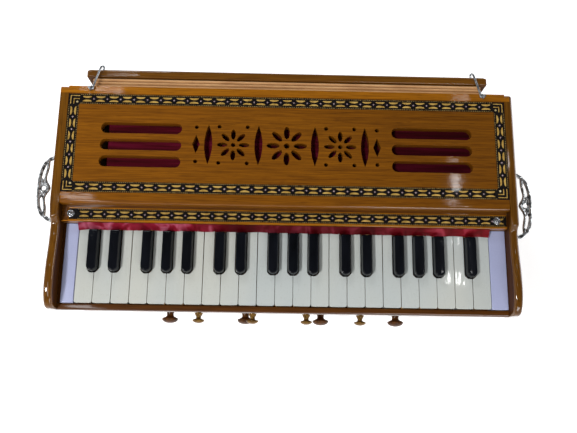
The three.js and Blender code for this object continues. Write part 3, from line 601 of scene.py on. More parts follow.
def merged(meshes, one_material=False):
    """Several meshes as one, each with its own material number unless they share one."""
    joined = mesh_of()
    with edited(joined) as bm:
        for number, mesh in enumerate(meshes):
            before = len(bm.faces)
            bm.from_mesh(mesh)
            bm.faces.ensure_lookup_table()
            for face in bm.faces[before:]:
                face.material_index = 0 if one_material else number
    return joined


# Case: the CAD boards with rounded edges and a grain for each

RAIL_REAR = KEY_LOW.y
CASE_MATERIALS = [CHEEK_WOOD, STRIP_WOOD, RAIL_WOOD, PANEL_WOOD, RAW_WOOD, CHROME_CASTING, CHEEK_SIDE_PAINTED_SHADE]
CHEEK_FACE, STRIP_FACE, RAIL_FACE, PANEL, INSIDE_FACE, EAR_FACE, PAINTED_SHADE_FACE = range(7)
# Radius and steps
ARM_ROUNDING = (0.0038, 4)
BOARD_ROUNDING = 0.0014
INSIDE_TOP = KEYBED_FOOT + 0.001
RAIL_FOOT = KEYBED_FOOT - 0.002
STEEP = 0.9
DOWNWARD = -0.5


def case_kind(centre, normal):
    across = abs(centre.x)
    if across > OUTER_HALF + ON_PLANE:
        return EAR_FACE
    on_inner_face = abs(across - INNER_HALF) < ON_PLANE and abs(normal.x) > STEEP
    # The inner faces of the cheeks take the darker wood: painted shade
    if on_inner_face and centre.z > INSIDE_TOP:
        return PAINTED_SHADE_FACE
    inside = across < INNER_HALF + ON_PLANE and PANEL_FACE + CLEAR < centre.y < BACK_INSIDE + CLEAR
    if inside and centre.z < INSIDE_TOP and normal.z > DOWNWARD:
        return INSIDE_FACE
    if centre.y > BACK_INSIDE - ON_PLANE:
        return STRIP_FACE
    if across > INNER_HALF - ON_PLANE:
        return CHEEK_FACE
    return RAIL_FACE if centre.y < RAIL_REAR and centre.z > RAIL_FOOT else PANEL


def is_arm_edge(edge):
    ends = ends_of(edge)
    on_side = any(
        all(abs(abs(place.x) - half) < ON_PLANE for place in ends) for half in (INNER_HALF, OUTER_HALF)
    )
    above_keys = all(place.z > KEY_HIGH.z for place in ends)
    in_front = all(place.y < COVER_LOW.y + CLEAR for place in ends)
    outer_right = all(place.x > OUTER_HALF - ON_PLANE for place in ends)
    return on_side and above_keys and (in_front or outer_right) and is_outward(edge)


def add_case():
    cuts = [
        (X_AXIS, INNER_HALF), (X_AXIS, -INNER_HALF), (Y_AXIS, BACK_INSIDE), (Y_AXIS, RAIL_REAR),
        (Z_AXIS, INSIDE_TOP),
    ]
    mesh = carried(
        "case", BOARD_ROUNDING, case_kind, cuts, lambda centre: centre.z > TOP + ON_PLANE,
        (is_arm_edge, *ARM_ROUNDING),
    )
    add_piece("case_boards", mesh, "case_body", CASE_MATERIALS, "case")


add_case()


# Keys

WHITE_COUNT = 23
BLACK_COUNT = 16
PLASTIC_THICKNESS = 0.0024
PLASTIC_REAR = RAIL_LOW.y + 0.019
NOTCH_FRONT = SHARP_LOW.y - 0.0006
# Radius, steps and profile
NOTCH_ROUNDING = (0.0046, 5, 0.35)
TOP_EDGE = 0.0007
TOP_OVERHANG = 0.0002
WHITE_ROUNDING = 0.0005
LEVER_ROUNDING = 0.0004
KEY_TOP = KEY_HIGH.z


def white_kind(centre, normal):
    return 0 if centre.z > KEY_TOP - PLASTIC_THICKNESS and centre.y < PLASTIC_REAR else 1


def is_notch_corner(edge):
    first, second = ends_of(edge)
    upright = (first.xy - second.xy).length < SAME
    return upright and not edge.is_convex and abs(first.y - NOTCH_FRONT) < CLEAR


def widen_top(mesh, middle, half):
    """The plastic top stands a little proud of its lever at both sides."""
    for vertex in mesh.vertices:
        place = vertex.co
        on_top = place.z > KEY_TOP - PLASTIC_THICKNESS + ON_PLANE and place.y < PLASTIC_REAR - ON_PLANE
        if on_top and abs(place.x - middle) > half - TOP_EDGE:
            place.x += copysign(TOP_OVERHANG, place.x - middle)


def add_white_keys():
    cuts = [(Z_AXIS, KEY_TOP - PLASTIC_THICKNESS), (Y_AXIS, PLASTIC_REAR)]
    for number in range(1, WHITE_COUNT + 1):
        key = f"white_key_{number:02d}"
        notch = (is_notch_corner, *NOTCH_ROUNDING)
        mesh = carried(key, WHITE_ROUNDING, white_kind, cuts, None, notch)
        middle, half = middle_and_half(key)
        widen_top(mesh, middle.x, half.x)
        add_piece(f"{key}_lever", mesh, key, [WHITE_PLASTIC, RAW_WOOD], key)


SHARP_RISE = 0.011
SHARP_FOOT = 0.0008
LEVER_BELOW_HEAD = 0.0001
# From the rail's front forward to the satin's hem, at its left end and its right end
HEM_SETBACKS = (0.0071, 0.0084)
HEEL_TO_HEM = 0.0007
SHARP_NOSE = 0.006
NOSE_LEAST = 0.1
SHARP_HEEL_RADIUS = 0.0016
NOSE_STEPS = 12
HEEL_STEPS = 4
HEEL_RUN = 0.01
HEEL_BEND = 0.03
SIDE_SHARES = (0.25, 0.5, 0.68, 0.72, 0.76, 0.8, 0.84, 0.88, 0.92, 0.96)
# Share of the height and share of the width that the sides have drawn in by, from the foot to the crown
SHARP_LEVELS = (
    (0, 0), (0.4, 0.03), (0.78, 0.06), (0.88, 0.072), (0.93, 0.085), (0.96, 0.1), (0.98, 0.12),
    (0.991, 0.145), (0.996, 0.19), (0.999, 0.3), (1, 0.495),
)


def hem_line(x):
    """Where the hem of the satin lies, front to rear, at a place across."""
    across = (x - CLOTH_LOW.x) / (CLOTH_HIGH.x - CLOTH_LOW.x)
    return RAIL_LOW.y - HEM_SETBACKS[0] * (1 - across) - HEM_SETBACKS[1] * across


def sharp_ring(middle, half_width, front, inset, z):
    """One level of a sharp's head: round nose, straight sides, and a heel that bends down to the rear."""
    half = half_width - inset
    rear = hem_line(middle) - HEEL_TO_HEM
    far = rear - inset
    nose = SHARP_NOSE * min(1, half / half_width + NOSE_LEAST)
    nose_rear = front + inset + nose
    radius = min(SHARP_HEEL_RADIUS, half)
    side_ys = [nose_rear + (far - radius - nose_rear) * share for share in SIDE_SHARES]
    tip = Vector((middle, nose_rear, z))
    ring = arc(tip, X_AXIS * -half, Y_AXIS * -nose, 1, 0, pi, NOSE_STEPS)
    ring += [Vector((middle + half, y, z)) for y in side_ys]
    for side, start in ((1, 0), (-1, QUARTER)):
        corner = Vector((middle + side * (half - radius), far - radius, z))
        ring += arc(corner, X_AXIS, Y_AXIS, radius, start, QUARTER, HEEL_STEPS)
    ring += [Vector((middle - half, y, z)) for y in reversed(side_ys)]
    for place in ring:
        past = max(0, place.y - (rear - HEEL_RUN))
        place.z -= past ** 2 / (2 * HEEL_BEND) * max(0, (z - KEY_TOP) / SHARP_RISE)
    return ring


def add_black_keys():
    foot = KEY_TOP - SHARP_FOOT
    height = SHARP_RISE + SHARP_FOOT
    lever_top = foot - LEVER_BELOW_HEAD
    for number in range(1, BLACK_COUNT + 1):
        key = f"black_key_{number:02d}"
        middle, half = middle_and_half(key)
        head = lofted([
            sharp_ring(middle.x, half.x, middle.y - half.y, inset * 2 * half.x, foot + level * height)
            for level, inset in SHARP_LEVELS
        ])
        cuts = [(Z_AXIS, lever_top)]
        lever = carried(key, LEVER_ROUNDING, None, cuts, lambda centre: centre.z > lever_top)
        mesh = merged([head, lever])
        add_piece(f"{key}_lever", mesh, key, [BLACK_PLASTIC, RAW_WOOD], key)


add_white_keys()
add_black_keys()


# Keybed: raw board with brass tongues below, and the laminate covers of the end blocks

KEYBED_ROUNDING = 0.0004
TONGUE_TOP = KEYBED_FOOT + 0.0013
END_BLOCK_FOOT = KEYBED_FOOT + 0.012
END_BLOCK_REAR = RAIL_LOW.y + 0.001
END_COVER_THICKNESS = 0.0003
END_COVER_EDGE = 0.001
END_COVER_FOOT = KEYBED_FOOT + 0.013
END_COVER_TOP = KEY_TOP - 0.0006
END_COVER_REAR = RAIL_LOW.y - 0.0002
END_BLOCK_GAP = 0.0012
# How far each cover stays off its cheek; the wider gap on the left bares the dark end block beneath as a
# painted shadow of the cheek
END_COVER_SETBACKS = {"left": 0.0038, "right": 0.0004}


def keybed_kind(centre, normal):
    if centre.z < TONGUE_TOP:
        return 1
    # The end blocks take the darker cheek-side wood: painted shade beside their covers
    return 2 if centre.z > END_BLOCK_FOOT and centre.y < END_BLOCK_REAR else 0


def add_keybed():
    mesh = carried("reed_board", KEYBED_ROUNDING, keybed_kind, [(Z_AXIS, END_BLOCK_FOOT)])
    add_piece("keybed", mesh, "case_body", [RAW_WOOD, REED_BRASS, CHEEK_SIDE_PAINTED_SHADE], "reed_board")
    for side, left, right in (
        ("left", -INNER_HALF + END_COVER_SETBACKS["left"], KEY_LOW.x - END_BLOCK_GAP),
        ("right", LAST_KEY_SIDE + END_BLOCK_GAP, INNER_HALF - END_COVER_SETBACKS["right"]),
    ):
        thick = Vector((END_COVER_THICKNESS,) * 3)
        low = Vector((left, KEY_LOW.y, END_COVER_FOOT)) - thick
        high = Vector((right, END_COVER_REAR, END_COVER_TOP)) + thick
        mesh = mesh_of()
        with edited(mesh) as bm:
            bmesh.ops.create_cube(bm, size=1)
            for vertex in bm.verts:
                vertex.co = [(l + h) / 2 + (h - l) * share for l, h, share in zip(low, high, vertex.co)]
            rounded(bm, bm.edges[:], END_COVER_EDGE)
        add_piece(f"{side}_end_cover", mesh, "case_body", [LAVENDER])


add_keybed()


# Key rail, cover and their inlay

# Radius and steps
COVER_NOSE = (0.005, 6)
COVER_ROUNDING = 0.0005
RAIL_ROUNDING = 0.0006
# Painted shade: the rail is painted darker on its rear slope, in the cover's shadow, and left of where its
# tape starts, in the cheek's shadow
RAIL_SHADE_FROM = RAIL_LOW.y + 0.0174
RAIL_TAPE_START = 0.008


def rail_kind(centre, normal):
    return 1 if centre.y > RAIL_SHADE_FROM or centre.x < RAIL_LOW.x + RAIL_TAPE_START else 0


def is_cover_nose(edge):
    return all(
        abs(place.y - COVER_LOW.y) < ON_PLANE and abs(place.z - TOP) < ON_PLANE for place in ends_of(edge)
    )


def add_key_rail():
    cuts = [(Y_AXIS, RAIL_SHADE_FROM), (X_AXIS, RAIL_LOW.x + RAIL_TAPE_START)]
    mesh = carried("key_rail", RAIL_ROUNDING, rail_kind, cuts)
    add_piece("key_rail_board", mesh, "case_body", [STRIP_WOOD, RAIL_PAINTED_SHADE], "key_rail")


def add_cover():
    mesh = carried("top_cover", COVER_ROUNDING, special=(is_cover_nose, *COVER_NOSE))
    add_piece("cover_board", mesh, "cover_body", [PANEL_WOOD], "top_cover")


add_key_rail()
add_cover()

INLAY_MATERIALS = [INLAY_BLACK, INLAY_GOLD, INLAY_CREAM, INLAY_STAR, INLAY_DOT]
BLACK_VENEER, GOLD_VENEER, CREAM_VENEER, STAR_VENEER, DOT_VENEER = range(5)
TAPE_WIDTH = 0.0136
TAPE_LIFT = 0.0001
CHIP_LIFT = 0.00018
UNIT_PITCH = 0.0166
MOON_LENGTH = 0.0114
MOON_DEPTH = 0.0025
MOON_FLAT = 0.0036
MOON_STEPS = 9
STAR_REACH = 0.0014
STAR_WAIST = 0.42
STAR_CORNERS = 8
DASH_PITCH = 0.0023
DASH_LENGTH = 0.0011
DASH_WIDTH = 0.0006
DASH_PLACE = TAPE_WIDTH / 2 - 0.001
CHEVRON_WIDTH = 0.001
CHEVRON_SETBACKS = (0.0022, 0.0062)
LOZENGE_PLACE = TAPE_WIDTH * 0.8
LOZENGE_REACH = 0.0016


class Inlay:
    """Chips of veneer laid in a plane, gathered into one mesh."""

    def __init__(self, z):
        self.z = z
        self.points = []
        self.faces = []
        self.colours = []

    def chip(self, outline, colour, lift=CHIP_LIFT):
        area = sum(a.x * b.y - b.x * a.y for a, b in zip(outline, outline[1:] + outline[:1]))
        ordered = outline if area > 0 else outline[::-1]
        first = len(self.points)
        self.points += [(p.x, p.y, self.z + lift) for p in ordered]
        self.faces.append(tuple(range(first, first + len(ordered))))
        self.colours.append(colour)

    def row(self, start, end, across, trim, end_trim):
        """Moons, stars and edge dots between two points, whose ends are kept free of them."""
        length = (end - start).length - trim - end_trim
        along = (end - start).normalized()
        count = round(length / UNIT_PITCH)
        pitch = length / count
        for i in range(count):
            centre = start + along * (trim + pitch * (i + 0.5))
            for outwards in (-across, across):
                moon = centre + outwards * MOON_FLAT
                reach = along * (MOON_LENGTH / 2)
                self.chip(arc(moon, reach, outwards * -MOON_DEPTH, 1, 0, pi, MOON_STEPS), GOLD_VENEER)
            if i:
                self.star(centre - along * pitch / 2, along, across)
        dashes = round(length / DASH_PITCH)
        reach, half = along * DASH_LENGTH / 2, across * DASH_WIDTH / 2
        for i in range(dashes):
            middle = start + along * (trim + length * (i + 0.5) / dashes)
            for outwards in (-across, across):
                near = middle + outwards * DASH_PLACE - half
                far = near + half * 2
                self.chip([near - reach, near + reach, far + reach, far - reach], DOT_VENEER)

    def star(self, centre, along, across):
        outline = circle(centre, along, across, STAR_REACH, STAR_CORNERS)
        outline[1::2] = [centre + (corner - centre) * STAR_WAIST for corner in outline[1::2]]
        self.chip(outline, STAR_VENEER)

    def corner(self, corner, along, across):
        """Two gold strokes that meet on the mitre, with a lozenge inside; corner is the outer corner."""
        for setback in CHEVRON_SETBACKS:
            reach = TAPE_WIDTH - setback
            for run, side in ((along, across), (across, along)):
                start = corner + run * setback + side * setback
                inner = start + side * CHEVRON_WIDTH
                outline = [start, start + run * reach, inner + run * reach, inner + run * CHEVRON_WIDTH]
                self.chip(outline, GOLD_VENEER)
        centre = corner + (along + across) * LOZENGE_PLACE
        self.chip(circle(centre, -along, -across, LOZENGE_REACH, 4), CREAM_VENEER)

    def piece(self, name, body):
        mesh = mesh_of(self.points, self.faces)
        for face, colour in zip(mesh.polygons, self.colours):
            face.material_index = colour
        add_piece(name, mesh, body, INLAY_MATERIALS, balance=False)


FRAME_FRONT = COVER_LOW.y + 0.0138
FRAME_REAR = COVER_HIGH.y - 0.0007
CORNER_TRIM = TAPE_WIDTH + 0.001


def add_cover_inlay():
    inlay = Inlay(TOP)
    left, right = COVER_LOW.x, COVER_HIGH.x
    corners = [Vector(place) for place in (
        (left, FRAME_FRONT), (right, FRAME_FRONT), (right, FRAME_REAR), (left, FRAME_REAR)
    )]
    for i, corner in enumerate(corners):
        following = corners[(i + 1) % 4]
        along = (following - corner).normalized()
        inwards = Vector((-along.y, along.x))
        band = inwards * TAPE_WIDTH
        cut = along * TAPE_WIDTH
        inlay.chip([corner, following, following + band - cut, corner + band + cut], BLACK_VENEER, TAPE_LIFT)
        inlay.row(corner + band / 2, following + band / 2, inwards, CORNER_TRIM, CORNER_TRIM)
        inlay.corner(corner, along, inwards)
    inlay.piece("cover_inlay", "cover_body")


RAIL_FLAT_REAR = RAIL_HIGH.y - 0.012
RAIL_TAPE_MIDDLE = (RAIL_LOW.y + RAIL_FLAT_REAR) / 2 - 0.0019
RAIL_TOP = RAIL_HIGH.z - 0.0037
RAIL_END_GAP = 0.0006
RAIL_TRIMS = (0.0185, 0.0012)


def add_rail_inlay():
    inlay = Inlay(RAIL_TOP)
    start = Vector((RAIL_LOW.x + RAIL_END_GAP, RAIL_TAPE_MIDDLE))
    end = Vector((RAIL_HIGH.x - RAIL_END_GAP, RAIL_TAPE_MIDDLE))
    across = Vector((0, 1))
    half = across * TAPE_WIDTH / 2
    tape_start = start + Vector((RAIL_TAPE_START, 0))
    inlay.chip([tape_start - half, end - half, end + half, tape_start + half], BLACK_VENEER, TAPE_LIFT)
    inlay.row(start, end, across, *RAIL_TRIMS)
    inlay.piece("rail_inlay", "case_body")


add_cover_inlay()
add_rail_inlay()

SCREW_INSETS = (0.0108, 0.0125)
SCREW_BEHIND = 0.0005
WASHER_RADIUS = 0.0047
WASHER_RISE = 0.001
SCREW_RADIUS = 0.0031
SCREW_RISE = 0.0019
SCREW_BLUFFNESS = 2.4
SCREW_RINGS = 24
SCREW_SPOKES = 48
SCREW_SHARP = 60
CROSS_HALF_WIDTH = 0.0005
CROSS_REACH = 0.0019
CROSS_DEPTH = 0.0011


def screw_height(x, y):
    """Height of a domed head with a cross recess, in its cup washer, at a place from its middle."""
    reach = hypot(x, y)
    if reach < SCREW_RADIUS:
        dome = SCREW_RISE * sqrt(1 - (reach / SCREW_RADIUS) ** SCREW_BLUFFNESS)
        arm = min(abs(x), abs(y)) < CROSS_HALF_WIDTH and max(abs(x), abs(y)) < CROSS_REACH
        return dome - (CROSS_DEPTH if arm else 0)
    middle = (WASHER_RADIUS + SCREW_RADIUS) / 2
    half = (WASHER_RADIUS - SCREW_RADIUS) / 2
    return WASHER_RISE * sqrt(max(0, 1 - ((reach - middle) / half) ** 2))


def add_screws():
    for side, x in (("left", RAIL_LOW.x + SCREW_INSETS[0]), ("right", RAIL_HIGH.x - SCREW_INSETS[1])):
        middle = Vector((x, RAIL_TAPE_MIDDLE + SCREW_BEHIND, RAIL_TOP))
        points = [middle + Z_AXIS * screw_height(0, 0)]
        for ring in range(1, SCREW_RINGS + 1):
            for place in circle(Vector(), X_AXIS, Y_AXIS, WASHER_RADIUS * ring / SCREW_RINGS, SCREW_SPOKES):
                points.append(middle + place + Z_AXIS * screw_height(place.x, place.y))
        faces = []
        for spoke in range(SCREW_SPOKES):
            following = (spoke + 1) % SCREW_SPOKES
            faces.append((0, 1 + spoke, 1 + following))
            for ring in range(SCREW_RINGS - 1):
                first = 1 + ring * SCREW_SPOKES
                outer = first + SCREW_SPOKES
                faces.append((first + spoke, outer + spoke, outer + following, first + following))
        name, mesh = f"{side}_rail_screw", mesh_of(points, faces)
        add_piece(name, mesh, "case_body", [SCREW_STEEL], sharp=SCREW_SHARP)


add_screws()


# Cloths

def ripple(x, y, waves):
    """Noises over a cloth, added up; each has its waves along x and along y, its layer and its height."""
    return sum(high * noise.noise(Vector((x * by_x, y * by_y, layer))) for by_x, by_y, layer, high in waves)


def grid(rows, columns):
    """Shares down and across for each point of a grid, row by row."""
    return [(row / (rows - 1), column / (columns - 1)) for row in range(rows) for column in range(columns)]


def solid_sheet(points, columns, thickness):
    """A cloth from a grid of points, given its thickness downwards or inwards."""
    faces = []
    for first in range(len(points) - columns):
        if (first + 1) % columns:
            faces.append((first, first + 1, first + 1 + columns, first + columns))
    mesh = mesh_of(points, faces)
    with edited(mesh, mesh) as bm:
        bmesh.ops.solidify(bm, geom=bm.faces[:], thickness=thickness)
        bmesh.ops.recalc_face_normals(bm, faces=bm.faces)
    return mesh


GRILLE_LEFT = -0.2225
GRILLE_ROWS = 30
GRILLE_COLUMNS = 120
GRILLE_SETBACK = 0.0005
GRILLE_SAG = ((14, 70, 0, 0.00035), (60, 240, 3, 0.00014))
GRILLE_THICKNESS = 0.0004


def add_grille_cloth():
    width = GRILLE_HIGH.x - GRILLE_LEFT
    length = GRILLE_HIGH.y - GRILLE_LOW.y
    points = []
    for down, across in grid(GRILLE_ROWS, GRILLE_COLUMNS):
        x = GRILLE_LEFT + width * across
        y = GRILLE_LOW.y + length * down
        points.append((x, y, GRILLE_HIGH.z - GRILLE_SETBACK + ripple(x, y, GRILLE_SAG)))
    mesh = solid_sheet(points, GRILLE_COLUMNS, GRILLE_THICKNESS)
    cloth = add_piece("grille_velvet", mesh, "cover_body", [VELVET], "grille_cloth")


CLOTH_ROWS = 9
CLOTH_COLUMNS = 700
CLOTH_THICKNESS = 0.0005
CLOTH_SHARP = 80
RAIL_TO_CLOTH = 0.0003
CLOTH_INSET = 0.0004
FOLD_LIFT = 0.0026
FOLD_AT_TOP = 0.35
FULLNESS_LEAST = 0.15
GATHERED_SHARE = 0.4
GATHER_LOSS = 0.8
HEM_WANDER = ((45, 1, 7, 0.09),)
HEM_LAYER = 7
HEAD_MARGIN = 0.003
HEAD_HALF = (SHARP_HIGH.x - SHARP_LOW.x) / 2
HEAD_MIDDLES = [middle_and_half(f"black_key_{i:02d}")[0].x for i in range(1, BLACK_COUNT + 1)]
CREASE_MEAN = 0.45
CREASE_SLANT = 0.014
CREASE_WANDER = ((30, 1, 2, 0.01),)
CREASE_SHARPNESS = 2.2
CREASES = ((48, 0.6, 1, 0.34), (130, 1.1, 5, 0.2))
WRINKLES = ((420, 2.5, 9, 0.08),)


def held_back(x):
    """Share of the fullness left at a place across: the heads of the black keys hold the folds back."""
    beside = min(abs(x - middle) for middle in HEAD_MIDDLES) - HEAD_HALF
    return FULLNESS_LEAST + (1 - FULLNESS_LEAST) * max(0, min(1, beside / HEAD_MARGIN))


def cloth_fold(x, share):
    """How far the gathered satin stands out from its board, from 0 to about 1: slanting creases."""
    slant = x + CREASE_SLANT * share + ripple(x, share, CREASE_WANDER)
    fold = CREASE_MEAN + ripple(slant, share, WRINKLES)
    for crease in CREASES:
        fold += crease[-1] - CREASE_SHARPNESS * abs(ripple(slant, share, [crease]))
    return fold


def add_key_cloth():
    top = Vector((0, RAIL_LOW.y - RAIL_TO_CLOTH, CLOTH_HIGH.z - CLOTH_INSET))
    hem = Vector((0, 0, CLOTH_LOW.z + CLOTH_INSET))
    points = []
    for down, across in grid(CLOTH_ROWS, CLOTH_COLUMNS):
        x = CLOTH_LOW.x + (CLOTH_HIGH.x - CLOTH_LOW.x) * across
        hem.y = hem_line(x)
        out = Vector((0, hem.z - top.z, top.y - hem.y)).normalized()
        place = top.lerp(hem, down * (1 + ripple(x, HEM_LAYER, HEM_WANDER)))
        place.x = x
        fullness = max(FULLNESS_LEAST, 1 - across / GATHERED_SHARE * GATHER_LOSS) * held_back(x)
        lift = cloth_fold(x, down) * FOLD_LIFT * fullness * (FOLD_AT_TOP + (1 - FOLD_AT_TOP) * down)
        points.append(place + out * max(0, lift))
    mesh = solid_sheet(points, CLOTH_COLUMNS, CLOTH_THICKNESS)
    cloth = add_piece("key_satin", mesh, "case_body", [SATIN], "key_cloth", CLOTH_SHARP)


add_grille_cloth()
add_key_cloth()


# Stops: knobs on their rods, with the valve discs behind the panel

STOPS_IN_ROW = 4
KNOB_COLLAR_GAP = 0.0004
ROD_RADIUS = 0.0025
VALVE_RADIUS = 0.007
VALVE_THICKNESS = 0.005
VALVE_EDGE = 0.0006
LEAST_RADIUS = 0.00002
# Share of the knob's length out from the panel, and share of its radius there
MUSHROOM_KNOB = (
    (0, 0.6), (0.07, 0.66), (0.13, 0.62), (0.18, 0.53), (0.28, 0.47), (0.42, 0.425), (0.51, 0.43),
    (0.56, 0.5), (0.62, 0.7), (0.67, 0.91), (0.7, 0.985), (0.745, 1), (0.8, 0.965), (0.86, 0.88),
    (0.92, 0.72), (0.965, 0.49), (0.99, 0.26), (1, 0),
)
SLIM_KNOB = (
    (0, 0.66), (0.08, 0.72), (0.28, 0.71), (0.46, 0.67), (0.56, 0.56), (0.62, 0.44), (0.7, 0.41),
    (0.75, 0.46), (0.785, 0.76), (0.81, 0.95), (0.85, 1), (0.89, 0.94), (0.93, 0.8), (0.97, 0.55),
    (0.99, 0.3), (1, 0),
)
ROWS_OF_STOPS = (
    ("main", MUSHROOM_KNOB, BROWN_KNOB, "brown_knob"),
    ("drone", SLIM_KNOB, OLIVE_KNOB, "brass_knob"),
)


def add_stop(stop, shares, material, slot):
    middle, half = middle_and_half(stop)
    front, rear = middle.y - half.y, middle.y + half.y
    face = PANEL_FACE - KNOB_COLLAR_GAP
    line = through([Vector((radius, along, 0)) for along, radius in shares], COARSE_STEPS)
    profile = [
        (max(LEAST_RADIUS, min(p.x, 1) * half.x), min(p.y, 1) * (face - front)) for p in line
    ]
    knob = turned(profile, Vector((middle.x, face, middle.z)))
    rod = turned([
        (VALVE_RADIUS - VALVE_EDGE, 0), (VALVE_RADIUS, VALVE_EDGE),
        (VALVE_RADIUS, VALVE_THICKNESS - VALVE_EDGE), (VALVE_RADIUS - VALVE_EDGE, VALVE_THICKNESS),
        (ROD_RADIUS, VALVE_THICKNESS), (ROD_RADIUS, rear - face),
    ], Vector((middle.x, rear, middle.z)))
    add_piece(f"{stop}_turning", merged([knob, rod]), stop, [material, RAW_WOOD], stop)


for row, *looks in ROWS_OF_STOPS:
    for number in range(1, STOPS_IN_ROW + 1):
        add_stop(f"{row}_stop_{number}", *looks)


# Handles: a bow, an inner rib and the ring between them, on pins in the ears

BOW_RADIUS = 0.0024
BOW_POWER = 3
BOW_SWELL = 0.35
BOW_STEPS = 48
RIB_RADIUS = 0.0019
RIB_CREST = 0.6
RIB_WAVE = 0.12
PIN_RADIUS = 0.0018
LATTICE_RADIUS = 0.0014
LATTICE_SHARES = ((0.96, 0.76), (0.76, 0.96))
LATTICE_START = 0.004
LATTICE_END = 0.0145
LATTICE_POINTS = 13
PIN_POINTS = 7
HANDLE_HALF_SPAN = 0.0435
HANDLE_REACH = 0.0328
RING_RADIUS = 0.0046
RING_SIDES = 28
BALL_RINGS = 8
POLE_RADIUS = 0.00001
EAR_REACH = 0.006
# Share of the reach and share of the half span, from one end of the rib to the other
RIB_PLACES = (
    (0.7, 0.86), (0.7, 0.62), (0.76, 0.34), (0.72, 0.19), (RIB_CREST, 0), (0.72, -0.19), (0.76, -0.34),
    (0.7, -0.62), (0.7, -0.86),
)


def ball(centre, radius):
    rings = []
    for place in arc(Vector(), Z_AXIS, X_AXIS, radius, 0, pi, BALL_RINGS):
        middle = centre + Z_AXIS * place.z
        rings.append(circle(middle, X_AXIS, Y_AXIS, max(place.x, POLE_RADIUS), FINE_SIDES))
    return lofted(rings)


def bow_radius(share):
    return BOW_RADIUS * (1 + BOW_SWELL * abs(2 * share - 1) ** 3)


def rib_radius(share):
    return RIB_RADIUS * (1 + RIB_WAVE * cos(4 * pi * share))


def add_handle(name, side):
    middle, half = middle_and_half(name)
    pin = Vector((side * (OUTER_HALF + EAR_REACH), middle.y, middle.z))

    def place(out, along):
        return pin + X_AXIS * side * out + Y_AXIS * along

    bow = []
    for i in range(BOW_STEPS + 1):
        angle = pi * i / BOW_STEPS
        out = abs(sin(angle)) ** (2 / BOW_POWER)
        along = -copysign(abs(cos(angle)) ** (2 / BOW_POWER), cos(angle))
        bow.append(place(HANDLE_REACH * out, HANDLE_HALF_SPAN * along))
    rib = [place(out * HANDLE_REACH, along * HANDLE_HALF_SPAN) for out, along in RIB_PLACES]
    ring_middle = place((1 + RIB_CREST) / 2 * HANDLE_REACH, 0)
    ring = circle(ring_middle, X_AXIS, Y_AXIS, RING_RADIUS, RING_SIDES)
    parts = [
        swept(bow, bow_radius, FINE_SIDES),
        swept(through(rib, FINE_STEPS), rib_radius),
        swept(ring, RIB_RADIUS, closed=True),
    ]
    for end in (-1, 1):
        for foot, head in LATTICE_SHARES:
            start = place(HANDLE_REACH * foot, end * LATTICE_START)
            line = straight(start, place(HANDLE_REACH * head, end * LATTICE_END), LATTICE_POINTS)
            parts.append(swept(line, LATTICE_RADIUS, COARSE_SIDES))
    for end in (-1, 1):
        knuckle = place(0, end * HANDLE_HALF_SPAN)
        parts.append(swept(straight(knuckle, place(0, end * half.y), PIN_POINTS), PIN_RADIUS))
        parts.append(ball(knuckle, BOW_RADIUS))
    add_piece(f"{name}_casting", merged(parts, True), name, [CHROME_CASTING], name)


add_handle("left_handle", -1)
add_handle("right_handle", 1)


# Hooks over the bellows and the screw eyes that carry them

HOOK_WIRE = 0.0013
HOOK_TURN = radians(19)
HOOK_LENGTH = 0.034
HOOK_RISE = 0.0008
HOOK_PIN_HALF = 0.0037
HOOK_PIN_POINTS = 9
HOOK_PLACE = Vector((0.246, 0.1345, 0.1929))
HOOK_OVER_BOARD = 0.001
HOOK_LIP = HOOK_PLACE.z - HOOK_WIRE - HOOK_OVER_BOARD - BOARD_HIGH.z
HOOK_CURL = 0.0021
HOOK_DRIFT = tan(radians(3))
# Share of the length, rise, drop to the lip and sideways curl towards the middle, from the pin to the tip
HOOK_PLACES = (
    (0, 0, 0, 0), (0.39, 1, 0, 0), (0.78, 0.6, 0, 0), (0.87, 0.3, 0, 0), (0.925, 0.2, 0, 0.25),
    (0.955, 0.1, 0.05, 1), (0.925, 0, 0.2, 1.75), (0.875, 0, 0.45, 1.9), (0.845, 0, 0.7, 1.5),
)
BEAD_SWELL = 1.2
EYE_RADIUS = 0.0027
EYE_WIRE = 0.0008
SHANK_LENGTH = 0.001
SHANK_POINTS = 4


def add_hook(name, side):
    turn = Matrix.Rotation(side * HOOK_TURN, 4, "Z")
    place = Matrix.Translation((side * HOOK_PLACE.x, HOOK_PLACE.y, HOOK_PLACE.z)) @ turn
    inwards = HOOK_PIN_HALF - HOOK_WIRE
    line = through([
        Vector((
            -side * (inwards + curl * HOOK_CURL - along * HOOK_LENGTH * HOOK_DRIFT),
            along * HOOK_LENGTH,
            rise * HOOK_RISE - lip * HOOK_LIP,
        ))
        for along, rise, lip, curl in HOOK_PLACES
    ], FINE_STEPS)
    pin = straight(X_AXIS * -HOOK_PIN_HALF, X_AXIS * HOOK_PIN_HALF, HOOK_PIN_POINTS)
    wire = merged([
        swept(line, HOOK_WIRE),
        swept(pin, HOOK_WIRE),
        ball(line[0], HOOK_WIRE * BEAD_SWELL),
    ], True)
    ring = circle(Vector(), Y_AXIS, Z_AXIS, EYE_RADIUS, RING_SIDES)
    shank = straight(Z_AXIS * -EYE_RADIUS, Z_AXIS * (-EYE_RADIUS - SHANK_LENGTH), SHANK_POINTS)
    eye = merged([
        swept(ring, EYE_WIRE, COARSE_SIDES, True),
        swept(shank, EYE_WIRE, COARSE_SIDES),
    ], True)
    wire.transform(place)
    eye.transform(place)
    add_piece(f"{name}_wire", wire, name, [CHROME_WIRE], name)
    add_piece(f"{name}_eye", eye, "case_body", [CHROME_WIRE])


add_hook("left_hook", -1)
add_hook("right_hook", 1)


# Bellows: a moulded board and pleated folds between it and the case

